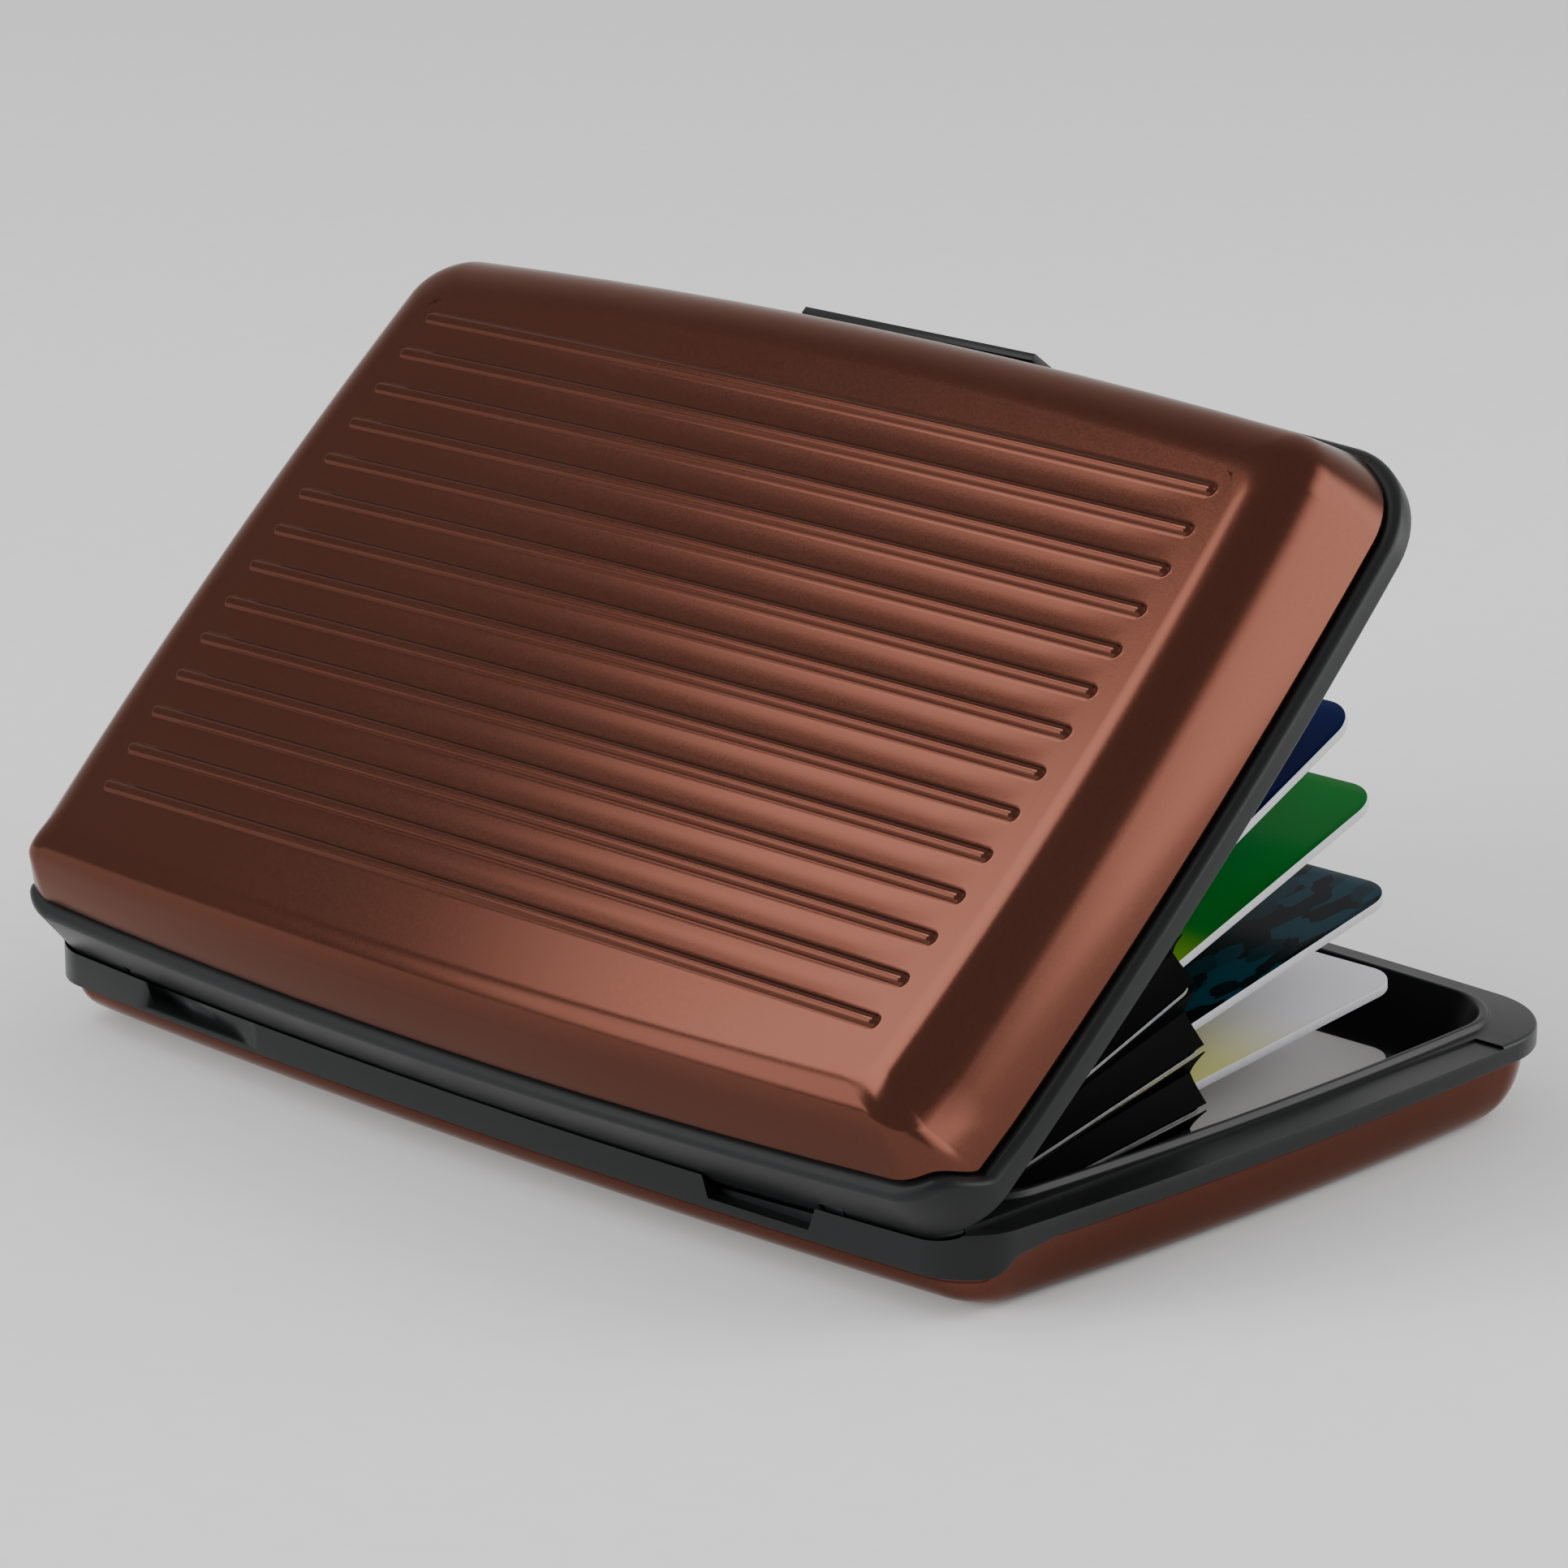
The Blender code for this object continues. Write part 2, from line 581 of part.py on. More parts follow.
def make_lower_frame(parts, cutters, material):
    flange = PARTING_HEIGHT - PARTING_GAP / 2
    near_edge = 2 * HINGE_INSET + BARREL_CLEARANCE + TRAY_NEAR_WALL
    rings = []
    for step in range(BEND_STEPS, -1, -1):
        angle = math.pi / 2 * step / BEND_STEPS
        inset = FRAME_INSET + (LOWER_BEND - SKIN_WALL - SKIN_FIT) * (1 - math.cos(angle))
        fall = math.sin(angle)
        rings.append(case_ring(
            lambda p, rim, f=fall: lower_edge(rim.y) + SKIN_EDGE_GAP
            - f * (lower_edge(rim.y) + SKIN_EDGE_GAP - TRAY_BOTTOM),
            inset,
        ))
    rings.append(case_ring(lambda p, rim: lower_edge(rim.y) + SKIN_EDGE_GAP, 0))
    rings.append(case_ring(flange - EDGE_ROUND, 0))
    rings.append(case_ring(flange, EDGE_ROUND))
    lip = (
        (flange, -LIP_WIDTH - LIP_LEAN),
        (flange + LIP_HEIGHT, -LIP_WIDTH),
        (flange + LIP_HEIGHT, -LIP_LEAN),
        (flange, 0),
    )
    for height, shift in lip:
        rings.append(case_ring(
            height, TRAY_SIDE_INSET + shift, near_edge + shift, TRAY_FAR_INSET + shift,
            TRAY_CORNER, 0.0,
        ))
    rings.append(case_ring(
        TRAY_TOP + TRAY_FOOT_HEIGHT, TRAY_SIDE_INSET + TRAY_WALL_LEAN, near_edge,
        TRAY_FAR_INSET + TRAY_WALL_LEAN, TRAY_CORNER - LIP_WIDTH, 0.0,
    ))
    foot = TRAY_WALL_LEAN + TRAY_FOOT_REACH
    rings.append(case_ring(
        TRAY_TOP, TRAY_SIDE_INSET + foot, near_edge, TRAY_FAR_INSET + foot,
        TRAY_CORNER - TRAY_FOOT_REACH, 0.0,
    ))
    frame = add_object("lower_frame", loft("lower_frame", rings, True, True), parts)

    combine(frame, hinge_barrel("trough", BARREL_CLEARANCE, cutters), "DIFFERENCE")
    slots = []
    for side in (-1, 1):
        middle = side * SLOT_CENTRE
        low = (middle - SLOT_WIDTH / 2, -HALF_WIDTH - OVERRUN, SLOT_FLOOR)
        high = (middle + SLOT_WIDTH / 2, SLOT_DEPTH - HALF_WIDTH, PARTING_HEIGHT)
        slots.append(box_mesh("slot", low, high, SLOT_SLANT))
    combine(frame, add_object("slots", joined("slots", slots), cutters), "DIFFERENCE")

    half_recess = CLASP_WIDTH / 2 + CLASP_CLEARANCE
    recess = box_mesh(
        "clasp_recess_low", (-half_recess, RECESS_BACK_Y, CLASP_RECESS_FLOOR),
        (half_recess, HALF_WIDTH + OVERRUN, flange + OVERRUN),
    )
    combine(frame, add_object("clasp_recess_low", recess, cutters), "DIFFERENCE")
    under = box_mesh(
        "catch_undercut", (-half_recess, RECESS_BACK_Y - CATCH_DEPTH, CLASP_RECESS_FLOOR),
        (half_recess, RECESS_BACK_Y + OVERRUN, flange - CATCH_HEIGHT),
    )
    combine(frame, add_object("catch_undercut", under, cutters), "DIFFERENCE")

    bank = HINGE_INSET + BARREL_CLEARANCE + EAR_ROOT
    rounds = [rod_mesh("ear", Vector((x, HINGE.y, HINGE.z)), EAR_RADIUS, EAR_THICKNESS)
              for x in ear_places()]
    arms = []
    for x in ear_places():
        low = (x - EAR_THICKNESS / 2, HINGE.y, HINGE.z - EAR_RADIUS)
        high = (x + EAR_THICKNESS / 2, HINGE.y + bank, flange)
        arms.append(box_mesh("arm", low, high))
    combine(frame, add_object("ear_rounds", joined("ear_rounds", rounds), cutters), "UNION")
    combine(frame, add_object("ear_arms", joined("ear_arms", arms), cutters), "UNION")
    combine(frame, pin_bores("lower_pin_bores", cutters), "DIFFERENCE")
    smooth(frame)
    frame.data.materials.append(material)


def pin_bores(name, cutters, pivot=None):
    length = PIN_LENGTH + 2 * EAR_CLEARANCE
    rods = [
        rod_mesh("bore", Vector((side * SLOT_CENTRE, HINGE.y, HINGE.z)),
                 PIN_RADIUS + PIN_CLEARANCE, length)
        for side in (-1, 1)
    ]
    return add_object(name, joined(name, rods), cutters, pivot)


def make_upper_frame(parts, cutters, pivot, material):
    flange = PARTING_HEIGHT + PARTING_GAP / 2
    top_inset = FRAME_INSET + UPPER_WALL_LEAN
    rings = []
    for step in range(BEND_STEPS, -1, -1):
        angle = math.pi / 2 * step / BEND_STEPS
        inset = top_inset + (UPPER_BEND_REACH - SKIN_WALL) * (1 - math.cos(angle))
        height = LID_BEND_HEIGHT + (LID_CEILING_TOP - LID_BEND_HEIGHT) * math.sin(angle)
        rings.append(case_ring(height, inset))
    rings.append(case_ring(lambda p, rim: upper_edge(rim.y) - SKIN_EDGE_GAP, FRAME_INSET))
    rings.append(case_ring(
        lambda p, rim: upper_edge(rim.y) - SKIN_EDGE_GAP, SKIN_INSET - LID_BAND_ROUND
    ))
    rings.append(case_ring(
        lambda p, rim: upper_edge(rim.y) - SKIN_EDGE_GAP - LID_BAND_BEVEL, LID_BAND_ROUND
    ))
    rings.append(case_ring(
        lambda p, rim: upper_edge(rim.y) - SKIN_EDGE_GAP - 2 * LID_BAND_BEVEL, 0
    ))
    rings.append(case_ring(flange + EDGE_ROUND, 0))
    rings.append(case_ring(flange, EDGE_ROUND))
    lip_reach = LIP_WIDTH + LIP_LEAN + LIP_CLEARANCE
    side = TRAY_SIDE_INSET - lip_reach
    far = TRAY_FAR_INSET - lip_reach
    near = 2 * HINGE_INSET
    rings.append(case_ring(flange, side, near, far, TRAY_CORNER, 0.0))
    rings.append(case_ring(
        LID_CEILING - LID_FOOT_HEIGHT, side + LID_WALL_LEAN, near + LID_NEAR_LEAN,
        far + LID_WALL_LEAN + lip_reach, TRAY_CORNER, 0.0,
    ))
    foot = LID_WALL_LEAN + LID_FOOT_REACH
    rings.append(case_ring(
        LID_CEILING, side + foot, near + 2 * LID_NEAR_LEAN, far + foot + lip_reach,
        TRAY_CORNER - LID_FOOT_REACH, 0.0,
    ))
    frame = add_object("upper_frame", loft("upper_frame", rings, True, True), parts, pivot)

    combine(frame, hinge_barrel("barrel", 0.0, cutters, pivot), "UNION")
    pocket_length = EAR_THICKNESS + 2 * EAR_CLEARANCE
    pocket_radius = EAR_RADIUS + EAR_CLEARANCE
    rounds = [rod_mesh("pocket", Vector((x, HINGE.y, HINGE.z)), pocket_radius, pocket_length)
              for x in ear_places()]
    combine(frame, add_object("ear_pockets", joined("ear_pockets", rounds), cutters, pivot),
            "DIFFERENCE")
    ways = []
    for x in ear_places():
        low = (x - pocket_length / 2, HINGE.y - EAR_SWEEP, HINGE.z - HINGE_INSET - OVERRUN)
        high = (x + pocket_length / 2, HINGE.y + HINGE_INSET + OVERRUN,
                HINGE.z + EAR_CLEARANCE / 2)
        ways.append(box_mesh("ear_way", low, high))
    combine(frame, add_object("ear_ways", joined("ear_ways", ways), cutters, pivot),
            "DIFFERENCE")
    combine(frame, pin_bores("upper_pin_bores", cutters, pivot), "DIFFERENCE")

    half_recess = CLASP_WIDTH / 2 + CLASP_CLEARANCE
    recess = box_mesh(
        "clasp_recess_high", (-half_recess, RECESS_BACK_Y, flange - OVERRUN),
        (half_recess, HALF_WIDTH + OVERRUN, CLASP_TOP),
    )
    combine(frame, add_object("clasp_recess_high", recess, cutters, pivot), "DIFFERENCE")
    bore = rod_mesh("clasp_bore", CLASP_PIN, CLASP_PIN_RADIUS + CLASP_PIN_CLEARANCE,
                    CLASP_WIDTH + 2 * (CLASP_PIN_SEAT + CLASP_CLEARANCE))
    combine(frame, add_object("clasp_bore", bore, cutters, pivot), "DIFFERENCE")
    smooth(frame)
    frame.data.materials.append(material)


def make_hinge_pins(parts, material):
    for side, word in ((-1, "left"), (1, "right")):
        name = "hinge_pin_" + word
        centre = Vector((side * SLOT_CENTRE, HINGE.y, HINGE.z))
        pin = add_object(name, rod_mesh(name, centre, PIN_RADIUS, PIN_LENGTH), parts)
        smooth(pin)
        pin.data.materials.append(material)


def make_clasp(parts, cutters, lid_pivot, pivot, plastic, steel):
    """A hook lever: its top is pressed with a thumb, its nose reaches under the base's catch."""
    nose_y = RECESS_BACK_Y + LAYER_GAP
    section = [
        Vector((CLASP_FACE_Y, CLASP_BOTTOM)),
        Vector((CLASP_FACE_Y, CLASP_SHOULDER)),
        Vector((HALF_WIDTH - CLASP_TOP_INSET, CLASP_TOP)),
        Vector((HALF_WIDTH - CLASP_TOP_INSET - CLASP_TOP_THICKNESS, CLASP_TOP)),
        Vector((HALF_WIDTH - SKIN_INSET + CLASP_SKIN_GAP, CLASP_SHOULDER)),
        Vector((CLASP_BACK_Y, CLASP_PIN_HEIGHT + CLASP_THICKNESS / 2)),
        Vector((CLASP_BACK_Y, CLASP_BOTTOM + NOSE_TOP_HEIGHT)),
        Vector((nose_y, CLASP_BOTTOM + NOSE_TIP_HEIGHT)),
        Vector((CLASP_BACK_Y, CLASP_BOTTOM)),
    ]
    mesh = flat_mesh("latch_clasp", section, CLASP_WIDTH, cutters)
    # The section was drawn in Y and Z and stands on the X axis
    mesh.transform(Matrix(((0, 0, 1, 0), (1, 0, 0, 0), (0, 1, 0, 0), (0, 0, 0, 1))))
    clasp = add_object("latch_clasp", mesh, parts, pivot)
    bore = rod_mesh("clasp_lever_bore", CLASP_PIN, CLASP_PIN_RADIUS + CLASP_PIN_CLEARANCE,
                    CLASP_WIDTH + 2 * OVERRUN)
    combine(clasp, add_object("clasp_lever_bore", bore, cutters, pivot), "DIFFERENCE")
    clasp.data.materials.append(plastic)
    pin = add_object(
        "latch_pin",
        rod_mesh("latch_pin", CLASP_PIN, CLASP_PIN_RADIUS, CLASP_WIDTH + 2 * CLASP_PIN_SEAT),
        parts, lid_pivot,
    )
    smooth(pin)
    pin.data.materials.append(steel)


def leaf_floors():
    """The underside of each leaf with the lid shut, from the tray's floor up."""
    pitch = LEAF_THICKNESS + CARD_THICKNESS + 2 * LAYER_GAP
    floors = [TRAY_TOP + LAYER_GAP + index * pitch for index in range(len(CARD_COLOURS))]
    # The empty pockets above the topmost card share the height that is left
    empty = len(LEAF_ANGLES) - len(floors)
    top = LID_CEILING - LAYER_GAP - LEAF_THICKNESS
    start = floors[-1]
    for step in range(1, empty + 1):
        floors.append(start + (top - start) * step / empty)
    return floors


def make_leaf(index, floor, parts, cutters, pivot, material):
    name = "leaf_" + str(index)
    points = outline(LEAF_LENGTH / 2, HINGE_Y + LEAF_REAR, HINGE_Y + LEAF_FRONT, LEAF_CORNER,
                     corner_steps=LEAF_CORNER_STEPS)
    mesh = flat_mesh(name, points, LEAF_THICKNESS, cutters)
    mesh.transform(Matrix.Translation((0, 0, floor + LEAF_THICKNESS / 2)))
    leaf = add_object(name, mesh, parts, pivot)
    leaf.data.materials.append(material)


def make_card(index, floor, parts, cutters, pivot, material):
    name = "card_" + str(index + 1)
    rear = HINGE_Y + CARD_REACH
    points = outline(CARD_LENGTH / 2, rear, rear + CARD_WIDTH, CARD_CORNER,
                     corner_steps=CARD_CORNER_STEPS)
    mesh = flat_mesh(name, points, CARD_THICKNESS, cutters)
    mesh.transform(Matrix.Translation((0, 0, floor + CARD_THICKNESS / 2)))
    card = add_object(name, mesh, parts, pivot)
    card.data.materials.append(material)


def turned(x, reach, height, angle):
    # A place given beside the hinge's axis with the lid shut, turned about that axis
    y = reach * math.cos(angle) - (height - HINGE.z) * math.sin(angle)
    z = reach * math.sin(angle) + (height - HINGE.z) * math.cos(angle)
    return Vector((x, HINGE.y + y, HINGE.z + z))


def make_gusset(index, floors, parts, material):
    """The folded strip that closes a pocket's two sides and its rear, open at the front."""
    low_angle = LEAF_ANGLES[index - 1]
    high_angle = LEAF_ANGLES[index]
    low = floors[index - 1] + LEAF_THICKNESS + GUSSET_GAP
    high = floors[index] - GUSSET_GAP
    half = LEAF_LENGTH / 2
    route = ((half, LEAF_FRONT), (half, LEAF_REAR), (-half, LEAF_REAR), (-half, LEAF_FRONT))

    def build(shape):
        rows = []
        for x, reach in route:
            side = math.copysign(1, x)
            inner = reach if reach == LEAF_FRONT else reach + GUSSET_FOLD
            fold = turned(x - side * GUSSET_FOLD, inner, (low + high) / 2,
                          (low_angle + high_angle) / 2)
            rows.append([
                shape.verts.new(turned(x, reach, low, low_angle)),
                shape.verts.new(fold),
                shape.verts.new(turned(x, reach, high, high_angle)),
            ])
        for one, two in zip(rows, rows[1:]):
            shape.faces.new((one[0], two[0], two[1], one[1]))
            shape.faces.new((one[1], two[1], two[2], one[2]))

    name = "gusset_" + str(index)
    gusset = add_object(name, mesh_from(name, build), parts)
    add_modifier(gusset, "SOLIDIFY", thickness=GUSSET_THICKNESS, offset=0)
    gusset.data.materials.append(material)


def main():
    clear_scene()
    parts = new_collection(COLLECTION_NAME)
    cutters = new_collection(CUTTER_COLLECTION_NAME)
    skin = make_material("brown_anodised_aluminium", SKIN_COLOUR, 0.3, 1.0)
    plastic = make_material("black_plastic", PLASTIC_COLOUR, 0.4, 0.0)
    leaf_film = make_material("leaf_film", LEAF_COLOUR, 0.35, 0.0)
    steel = make_material("pin_steel", STEEL_COLOUR, 0.3, 1.0)

    lid_pivot = make_pivot("lid_pivot", HINGE, LID_OPEN_ANGLE, parts)
    clasp_pivot = make_pivot("clasp_pivot", CLASP_PIN, 0.0, parts, lid_pivot)
    leaf_pivots = [
        make_pivot("leaf_pivot_" + str(index), HINGE, angle, parts)
        for index, angle in enumerate(LEAF_ANGLES)
    ]

    make_lower_shell(parts, cutters, skin)
    make_lower_frame(parts, cutters, plastic)
    make_hinge_pins(parts, steel)
    make_upper_shell(parts, cutters, lid_pivot, skin)
    make_upper_frame(parts, cutters, lid_pivot, plastic)
    make_clasp(parts, cutters, lid_pivot, clasp_pivot, plastic, steel)

    floors = leaf_floors()
    for index, floor in enumerate(floors):
        make_leaf(index, floor, parts, cutters, leaf_pivots[index], leaf_film)
    for index in range(1, len(floors)):
        make_gusset(index, floors, parts, leaf_film)
    for index, colour in enumerate(CARD_COLOURS):
        card_skin = make_material("card_" + str(index + 1), colour, 0.35, 0.0)
        floor = floors[index] + LEAF_THICKNESS + LAYER_GAP
        make_card(index, floor, parts, cutters, leaf_pivots[index], card_skin)
    bpy.context.view_layer.update()


main()
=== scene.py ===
# Aluminium card wallet, open, with its accordion of leaves and five cards.
# Metres, +Z up. +X runs along the hinge and +Y from the hinge to the clasp.
import math

import bmesh
import bpy
from mathutils import Matrix, Vector


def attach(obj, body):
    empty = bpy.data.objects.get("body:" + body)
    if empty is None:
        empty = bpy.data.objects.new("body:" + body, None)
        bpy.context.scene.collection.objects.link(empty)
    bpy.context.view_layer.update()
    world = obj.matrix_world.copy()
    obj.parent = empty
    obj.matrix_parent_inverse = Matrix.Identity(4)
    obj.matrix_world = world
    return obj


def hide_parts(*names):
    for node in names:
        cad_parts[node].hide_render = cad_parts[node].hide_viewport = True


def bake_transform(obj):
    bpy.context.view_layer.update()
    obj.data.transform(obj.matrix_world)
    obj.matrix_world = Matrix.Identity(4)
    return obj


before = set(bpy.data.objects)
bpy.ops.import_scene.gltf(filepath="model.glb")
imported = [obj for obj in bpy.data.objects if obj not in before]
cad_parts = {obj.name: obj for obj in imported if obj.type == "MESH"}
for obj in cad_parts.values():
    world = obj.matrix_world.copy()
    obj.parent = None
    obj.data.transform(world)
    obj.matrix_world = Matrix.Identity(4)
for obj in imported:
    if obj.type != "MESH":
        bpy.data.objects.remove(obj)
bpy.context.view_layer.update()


# Base skin
# The lower outer skin, one sheet of aluminium deep drawn over a die with 13 ribs pressed in it,
# then bead blasted, brightened and anodised brown. It is glued round the base frame's underside.

MM = 0.001
HALF_LENGTH = 55.0 * MM
HALF_WIDTH = 37.6 * MM
CASE_CORNER = 8.0 * MM
INNER_CORNER = 3.0 * MM
HINGE_CORNER_LESS = 3.0 * MM
HINGE_INNER_CORNER = 2.2 * MM
SHORT_SIDE_BOW = 1.29 * MM
LONG_SIDE_BOW = 1.7 * MM
SKIN_INSET = 1.13 * MM
SKIN_WALL = 0.55 * MM
CUT_EDGE_ROUND = 0.09 * MM
BASE_SKIN_UNDERSIDE = 0.35 * MM
BASE_EDGE_HEIGHT = 5.5 * MM
BASE_EDGE_FALL = 2.0 * MM
BASE_FALL_START = 8.1 * MM
BASE_FALL_LENGTH = 3.9 * MM
BASE_HINGE_BEND = 6.0 * MM
BASE_CLASP_BEND = 4.0 * MM
BASE_SIDE_BEND = 2.3 * MM
FLAT_MARGIN = 0.25 * MM
RIB_PITCH = 3.849 * MM
RIB_REACH = 44.58 * MM
RIB_END_BOW = 0.71 * MM
RIB_SPAN = 25.02 * MM
RIB_WALL_TURN = math.radians(62)
BASE_RIB_COUNT = 13
BASE_RIB_HEIGHT = 0.35 * MM
BASE_RIB_CROWN = 0.52 * MM
BASE_FIELD_MARGIN = 0.9 * MM
SAG_BACK = 0.6 * MM
SAG_EASE = 3.2 * MM
WELD = 0.001 * MM

# Steps round the plan: the field of ribs is knitted to a ring with as many points on each side
CORNER_STEPS = 14
LONG_STEPS = 12
SHORT_STEPS = 14
BEND_STEPS = 12

# Steps across a rib, the grid's lines beside its foot and in the valley, and those behind its end
CROWN_STEPS = 6
FOOT_STEPS = 4
FOOT_LINE = 0.22 * MM
VALLEY_LINE = 0.1 * MM
END_LINES = (1.2 * MM, 4.5 * MM)


def clear_bench():
    """Object mode with nothing selected, so that the next operator acts on its own piece alone."""
    if bpy.context.mode != "OBJECT":
        bpy.ops.object.mode_set(mode="OBJECT")
    bpy.ops.object.select_all(action="DESELECT")


def new_piece(name):
    """Names the primitive that was just added."""
    piece = bpy.context.object
    piece.name = piece.data.name = name
    return piece


def line_points(start, end, steps):
    return [start.lerp(end, step / steps) for step in range(1, steps)]


def plan_outline(half_x, near, far, corner, near_corner, bow_x, bow_near, bow_far):
    """A rounded rectangle with bowed sides, from the middle of its +X side round by +Y."""
    box_x = half_x - bow_x
    box_near = near + bow_near
    box_far = far - bow_far
    mid_y = (box_near + box_far) / 2
    half_y = (box_far - box_near) / 2

    def arc(sign_x, sign_y, start, radius):
        centre = Vector((sign_x * (box_x - radius), mid_y + sign_y * (half_y - radius)))
        turns = [start + math.pi / 2 * step / CORNER_STEPS for step in range(CORNER_STEPS + 1)]
        return [centre + radius * Vector((math.cos(turn), math.sin(turn))) for turn in turns]

    far_right = arc(1, 1, 0, corner)
    far_left = arc(-1, 1, math.pi / 2, corner)
    near_left = arc(-1, -1, math.pi, near_corner)
    near_right = arc(1, -1, 3 * math.pi / 2, near_corner)
    middle = Vector((box_x, mid_y))
    points = [middle] + line_points(middle, far_right[0], SHORT_STEPS // 2) + far_right
    points += line_points(far_right[-1], far_left[0], LONG_STEPS) + far_left
    points += line_points(far_left[-1], near_left[0], SHORT_STEPS) + near_left
    points += line_points(near_left[-1], near_right[0], LONG_STEPS) + near_right
    points += line_points(near_right[-1], middle, SHORT_STEPS // 2)

    bowed = []
    for point in points:
        across = point.x / box_x
        along = (point.y - mid_y) / half_y
        bow_y = bow_far if along > 0 else bow_near
        x = point.x + bow_x * across * (1 - along ** 2)
        y = point.y + bow_y * along * (1 - across ** 2)
        bowed.append(Vector((x, y)))
    return bowed


def case_ring(height, side, near=None, far=None, corner=None, near_bow=LONG_SIDE_BOW):
    """A level ring at some insets from the case's outline, whose hinge side has tighter corners.

    A height that varies is a function of the ring's point and of the outline's point beside it.
    """
    near = side if near is None else near
    far = side if far is None else far
    near_corner = corner
    if corner is None:
        corner = max(CASE_CORNER - side, INNER_CORNER)
        near_corner = max(CASE_CORNER - HINGE_CORNER_LESS - side, HINGE_INNER_CORNER)
    points = plan_outline(
        HALF_LENGTH - side, near - HALF_WIDTH, HALF_WIDTH - far, corner, near_corner,
        SHORT_SIDE_BOW, near_bow, LONG_SIDE_BOW,
    )
    if not callable(height):
        return [Vector((point.x, point.y, height)) for point in points]
    rim = plan_outline(
        HALF_LENGTH, -HALF_WIDTH, HALF_WIDTH, CASE_CORNER, CASE_CORNER - HINGE_CORNER_LESS,
        SHORT_SIDE_BOW, LONG_SIDE_BOW, LONG_SIDE_BOW,
    )
    return [Vector((p.x, p.y, height(p, beside))) for p, beside in zip(points, rim)]


def eased(share):
    """A share held between 0 and 1, with a soft start and end."""
    share = min(max(share, 0), 1)
    return share * share * (3 - 2 * share)


def edge_ramp(y, start, length):
    """0 along the sides and 1 at the hinge side, eased between them round the near corners."""
    return eased((start - (y + HALF_WIDTH)) / length)


def base_edge(y):
    return BASE_EDGE_HEIGHT - BASE_EDGE_FALL * edge_ramp(y, BASE_FALL_START, BASE_FALL_LENGTH)


def swept(name, rings):
    """A circle set on the first ring and extruded on to each ring after it, left in edit mode."""
    clear_bench()
    bpy.ops.mesh.primitive_circle_add(vertices=len(rings[0]), radius=HALF_WIDTH)
    piece = new_piece(name)
    place = piece.data.attributes.new("place", "INT", "POINT")
    place.data.foreach_set("value", range(len(rings[0])))
    piece.data.attributes.new("level", "INT", "POINT")
    bpy.ops.object.mode_set(mode="EDIT")
    bpy.ops.mesh.select_all(action="SELECT")
    for step, ring in enumerate(rings):
        if step:
            bpy.ops.mesh.extrude_region_move()
        shape = bmesh.from_edit_mesh(piece.data)
        place = shape.verts.layers.int["place"]
        level = shape.verts.layers.int["level"]
        for vert in shape.verts:
            if vert.select:
                vert.co = ring[vert[place]]
                vert[level] = step
        bmesh.update_edit_mesh(piece.data)
    return piece


def ring_verts(shape, ring):
    """The mesh's own vertices on a ring, in the ring's order."""
    place = shape.verts.layers.int["place"]
    found = {}
    for vert in shape.verts:
        if (vert.co - ring[vert[place]]).length < WELD:
            found[vert[place]] = vert
    return [found[index] for index in range(len(ring))]


def close_with_rungs(piece, ring):
    """Rungs over the long middle line close a ring and keep a crowned face even."""
    shape = bmesh.from_edit_mesh(piece.data)
    verts = ring_verts(shape, ring)
    half = len(verts) // 2
    shape.faces.new((verts[0], verts[1], verts[-1]))
    for k in range(1, half - 1):
        shape.faces.new((verts[k], verts[k + 1], verts[-k - 1], verts[-k]))
    shape.faces.new((verts[half - 1], verts[half], verts[half + 1]))
    bmesh.update_edit_mesh(piece.data)


def rib_foot(height, crown_radius):
    """How far a pressed bead's round crown reaches, its fillet's radius, and where its foot is."""
    crown_reach = crown_radius * math.sin(RIB_WALL_TURN)
    left = height - crown_radius * (1 - math.cos(RIB_WALL_TURN))
    foot_radius = left / (1 - math.cos(RIB_WALL_TURN))
    return crown_reach, foot_radius, crown_reach + foot_radius * math.sin(RIB_WALL_TURN)


def rib_height(distance, height, crown_radius):
    """The bead's height by the distance from its middle line: a round crown, then a fillet."""
    crown_reach, foot_radius, foot = rib_foot(height, crown_radius)
    if distance < crown_reach:
        return height - crown_radius + math.sqrt(crown_radius ** 2 - distance ** 2)
    if distance < foot:
        return foot_radius - math.sqrt(foot_radius ** 2 - (foot - distance) ** 2)
    return 0.0


